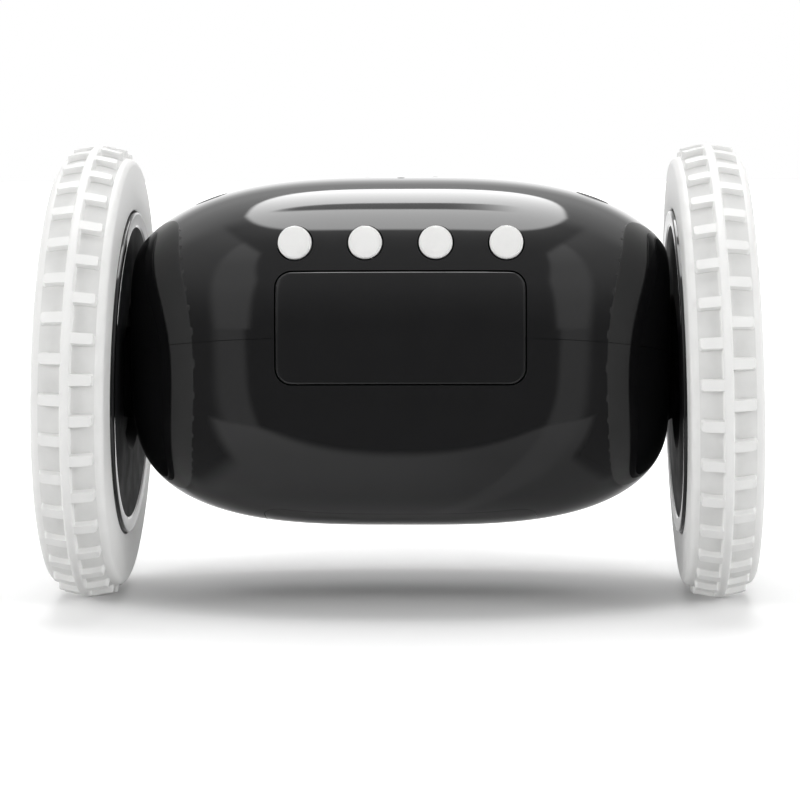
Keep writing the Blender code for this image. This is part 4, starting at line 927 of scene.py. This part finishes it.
def white_floor():
    """A white floor that keeps the shadows. Its glow to the camera is nil in an oval round the clock and rises
    outward, a painted shadow that sets how far the floor stays dark. To glossy rays it is swapped ahead of the
    keys, beside the wheels in front and in part on the right for glowing zones, dim ahead and brighter at the
    side panels, a painted reflection of a dark room.
    """
    made = bpy.data.materials.new("white_floor")
    made.use_nodes = True
    nodes, links = made.node_tree.nodes, made.node_tree.links
    sums = Sums(made.node_tree)
    shader = nodes["Principled BSDF"]
    shader.inputs["Base Color"].default_value = (0.88, 0.88, 0.88, 1)
    shader.inputs["Roughness"].default_value = 0.6
    shader.inputs["Specular IOR Level"].default_value = 0.2
    path = nodes.new("ShaderNodeLightPath")
    x, y, _ = sums.place("Object")
    across = sums.math("ABSOLUTE", x)
    wide = sums.math("MULTIPLY", x, 0.5)
    away = sums.math("SQRT", sums.math("ADD", sums.math("POWER", wide, 2), sums.math("POWER", y, 2)))
    # The camera glow is nil in an oval round the clock, long along the axle, and rises outward: a painted
    # shadow that sets how far the floor stays dark.
    near = sums.math("ADD", sums.ramp(away, 0.022, 0.042, 0.0, 0.2), sums.ramp(away, 0.04, 0.1, 0.0, 0.36))
    near = sums.math("MULTIPLY", path.outputs["Is Camera Ray"], near)
    seen = sums.math("MAXIMUM", path.outputs["Is Camera Ray"], path.outputs["Is Glossy Ray"])
    far = sums.math("MULTIPLY", seen, sums.ramp(away, 0.12, 0.5, 0.0, 0.6))
    glow = nodes.new("ShaderNodeEmission")
    links.new(sums.math("ADD", near, far), glow.inputs["Strength"])
    lit = nodes.new("ShaderNodeAddShader")
    links.new(shader.outputs[0], lit.inputs[0])
    links.new(glow.outputs[0], lit.inputs[1])
    # Glossy rays see painted reflection here: ahead of the keys, beside the wheels in front and partly over
    # the right half, the lit floor gives way to glowing zones.
    turn = sums.turn(x, y)
    edge = sums.ramp(across, 0, 0.08, FLOOR_DARK_FROM, FLOOR_DARK_FROM + FLOOR_DARK_SPREAD)
    ahead = sums.ramp(sums.math("SUBTRACT", sums.math("MULTIPLY", y, -1), edge), -0.004, 0.012)
    aside = sums.math("MULTIPLY", sums.ramp(turn, 42, 48), sums.ramp(across, 0.045, 0.06))
    aside = sums.math("MULTIPLY", aside, sums.ramp(y, 0.0, -0.02))
    inner = sums.math("SUBTRACT", turn, 2.0)
    right_half = sums.ramp(x, -0.005, 0.03, 0.0, 0.38)
    dark = nodes.new("ShaderNodeEmission")
    links.new(zones(sums, inner, turn, FLOOR_AHEAD, FLOOR_PANELS, FLOOR_BETWEEN), dark.inputs["Strength"])
    painted_reflection_mask = sums.math("MAXIMUM", sums.math("MAXIMUM", ahead, aside), right_half)
    swap = nodes.new("ShaderNodeMixShader")
    links.new(sums.math("MULTIPLY", path.outputs["Is Glossy Ray"], painted_reflection_mask), swap.inputs[0])
    links.new(lit.outputs[0], swap.inputs[1])
    links.new(dark.outputs[0], swap.inputs[2])
    links.new(swap.outputs[0], nodes["Material Output"].inputs["Surface"])
    return made


def studio_air():
    """White to the camera and through glass. The gloss shows a canopy of light and the room round it."""
    world = bpy.data.worlds.new("studio_air")
    bpy.context.scene.world = world
    world.use_nodes = True
    nodes, links = world.node_tree.nodes, world.node_tree.links
    sums = Sums(world.node_tree)
    path = nodes.new("ShaderNodeLightPath")
    x, y, z = sums.place("Generated")
    height = sums.math("MULTIPLY", sums.math("ARCSINE", z), 180 / math.pi)
    ahead, panels, between, rear = (sums.level(height, stops) for stops in (AHEAD, PANELS, BETWEEN, REAR))
    turn = sums.turn(x, y)
    above = sums.math("MAXIMUM", sums.math("SUBTRACT", height, 22), 0)
    inner = sums.math("SUBTRACT", turn, sums.math("MULTIPLY", above, 0.3))
    outer = sums.math("SUBTRACT", turn, sums.math("MULTIPLY", height, 0.25))
    up = sums.math("MAXIMUM", z, 0.02)
    slope_x, slope_y = sums.math("DIVIDE", x, up), sums.math("DIVIDE", y, up)
    room = zones(sums, inner, outer, ahead, panels, between)
    room = sums.mix(sums.ramp(sums.math("ABSOLUTE", slope_x), 0.50, 0.58), ahead, room)
    room = sums.mix(sums.ramp(y, 0.02, 0.35), room, rear)
    beyond = sums.math("MAXIMUM", sums.math("SUBTRACT", slope_y, 0.4), 0)
    narrowing = sums.math("ADD", 1, sums.math("MULTIPLY", beyond, 0.4))
    canopy_x = sums.math("MULTIPLY", slope_x, narrowing)
    canopy = sums.oval(canopy_x, sums.math("SUBTRACT", slope_y, CANOPY_CENTRE), CANOPY_HALF, 3.0)
    slot = sums.oval(slope_x, sums.math("SUBTRACT", slope_y, SLOT_CENTRE), SLOT_HALF, 2.0)
    opened = sums.math("MAXIMUM", sums.ramp(slot, 0.6, 1.5), sums.ramp(slope_x, 0.0, 0.2))
    over = sums.math("MULTIPLY", sums.ramp(canopy, 0.85, 1.15, 1, 0), opened)
    over = sums.math("MULTIPLY", over, sums.ramp(z, 0.3, 0.4))
    room = sums.mix(over, room, CANOPY)
    clear = sums.math("MAXIMUM", path.outputs["Is Camera Ray"], path.outputs["Is Transmission Ray"])
    level = sums.mix(path.outputs["Is Glossy Ray"], AIR_LIGHT, room)
    level = sums.mix(clear, level, 1.0)
    background = nodes["Background"]
    background.inputs["Color"].default_value = (1, 1, 1, 1)
    links.new(level, background.inputs["Strength"])


def studio():
    bpy.ops.mesh.primitive_plane_add(size=8)
    floor = added("studio_floor")
    floor.data.materials.append(white_floor())
    studio_air()


def softbox(name, centre, aim, size, radiance):
    """An area lamp that faces a point. Its own mirror image is left to the canopy and panels of the room."""
    lamp = bpy.data.lights.new(name, "AREA")
    lamp.shape = "RECTANGLE"
    lamp.size, lamp.size_y = size
    lamp.energy = radiance * math.pi * size[0] * size[1]
    holder = bpy.data.objects.new(name, lamp)
    bpy.context.scene.collection.objects.link(holder)
    holder.rotation_mode = "QUATERNION"
    holder.rotation_quaternion = (Vector(aim) - Vector(centre)).to_track_quat("-Z", "Y")
    holder.location = centre
    holder.visible_glossy = False


def lamps():
    target = (0, 0, AXLE_HEIGHT)
    softbox("overhead_front", (0, -0.02, 1.0), (0, -0.02, 0), (0.72, 0.49), 2.6)
    softbox("overhead_rear", (0, 0.78, 1.0), (0, 0.78, 0), (0.70, 0.65), 2.8)
    softbox("front_high", (0, -1.0, 0.85), target, (0.5, 0.4), 2.8)
    for word, side in SIDES.items():
        softbox(f"{word}_front", (side * 0.95, -0.5, 0.35), target, (0.4, 0.4), 12.0)


def camera():
    """A long lens a little above the axle and a little to the right of square."""
    made = bpy.data.cameras.new("photo_camera")
    made.lens = 127.0
    made.sensor_width = 36.0
    made.shift_x = -3.0 / 800
    made.shift_y = -29.2 / 800
    made.dof.use_dof = False
    made.clip_start = 0.05
    holder = bpy.data.objects.new("photo_camera", made)
    bpy.context.scene.collection.objects.link(holder)
    azimuth, elevation, roll = math.radians(1.83), math.radians(5), math.radians(-0.22)
    back = Vector((math.sin(azimuth) * math.cos(elevation), -math.cos(azimuth) * math.cos(elevation),
                   math.sin(elevation)))
    right = Vector((math.cos(azimuth), math.sin(azimuth), 0))
    up = back.cross(right)
    turned_right = right * math.cos(roll) + up * math.sin(roll)
    turned_up = up * math.cos(roll) - right * math.sin(roll)
    place = Vector((0, 0, AXLE_HEIGHT)) + back * 0.557
    holder.matrix_world = Matrix((
        (turned_right.x, turned_up.x, back.x, place.x),
        (turned_right.y, turned_up.y, back.y, place.y),
        (turned_right.z, turned_up.z, back.z, place.z),
        (0, 0, 0, 1),
    ))
    bpy.context.scene.camera = holder


studio()
lamps()
camera()
bpy.context.scene.view_settings.view_transform = "Standard"
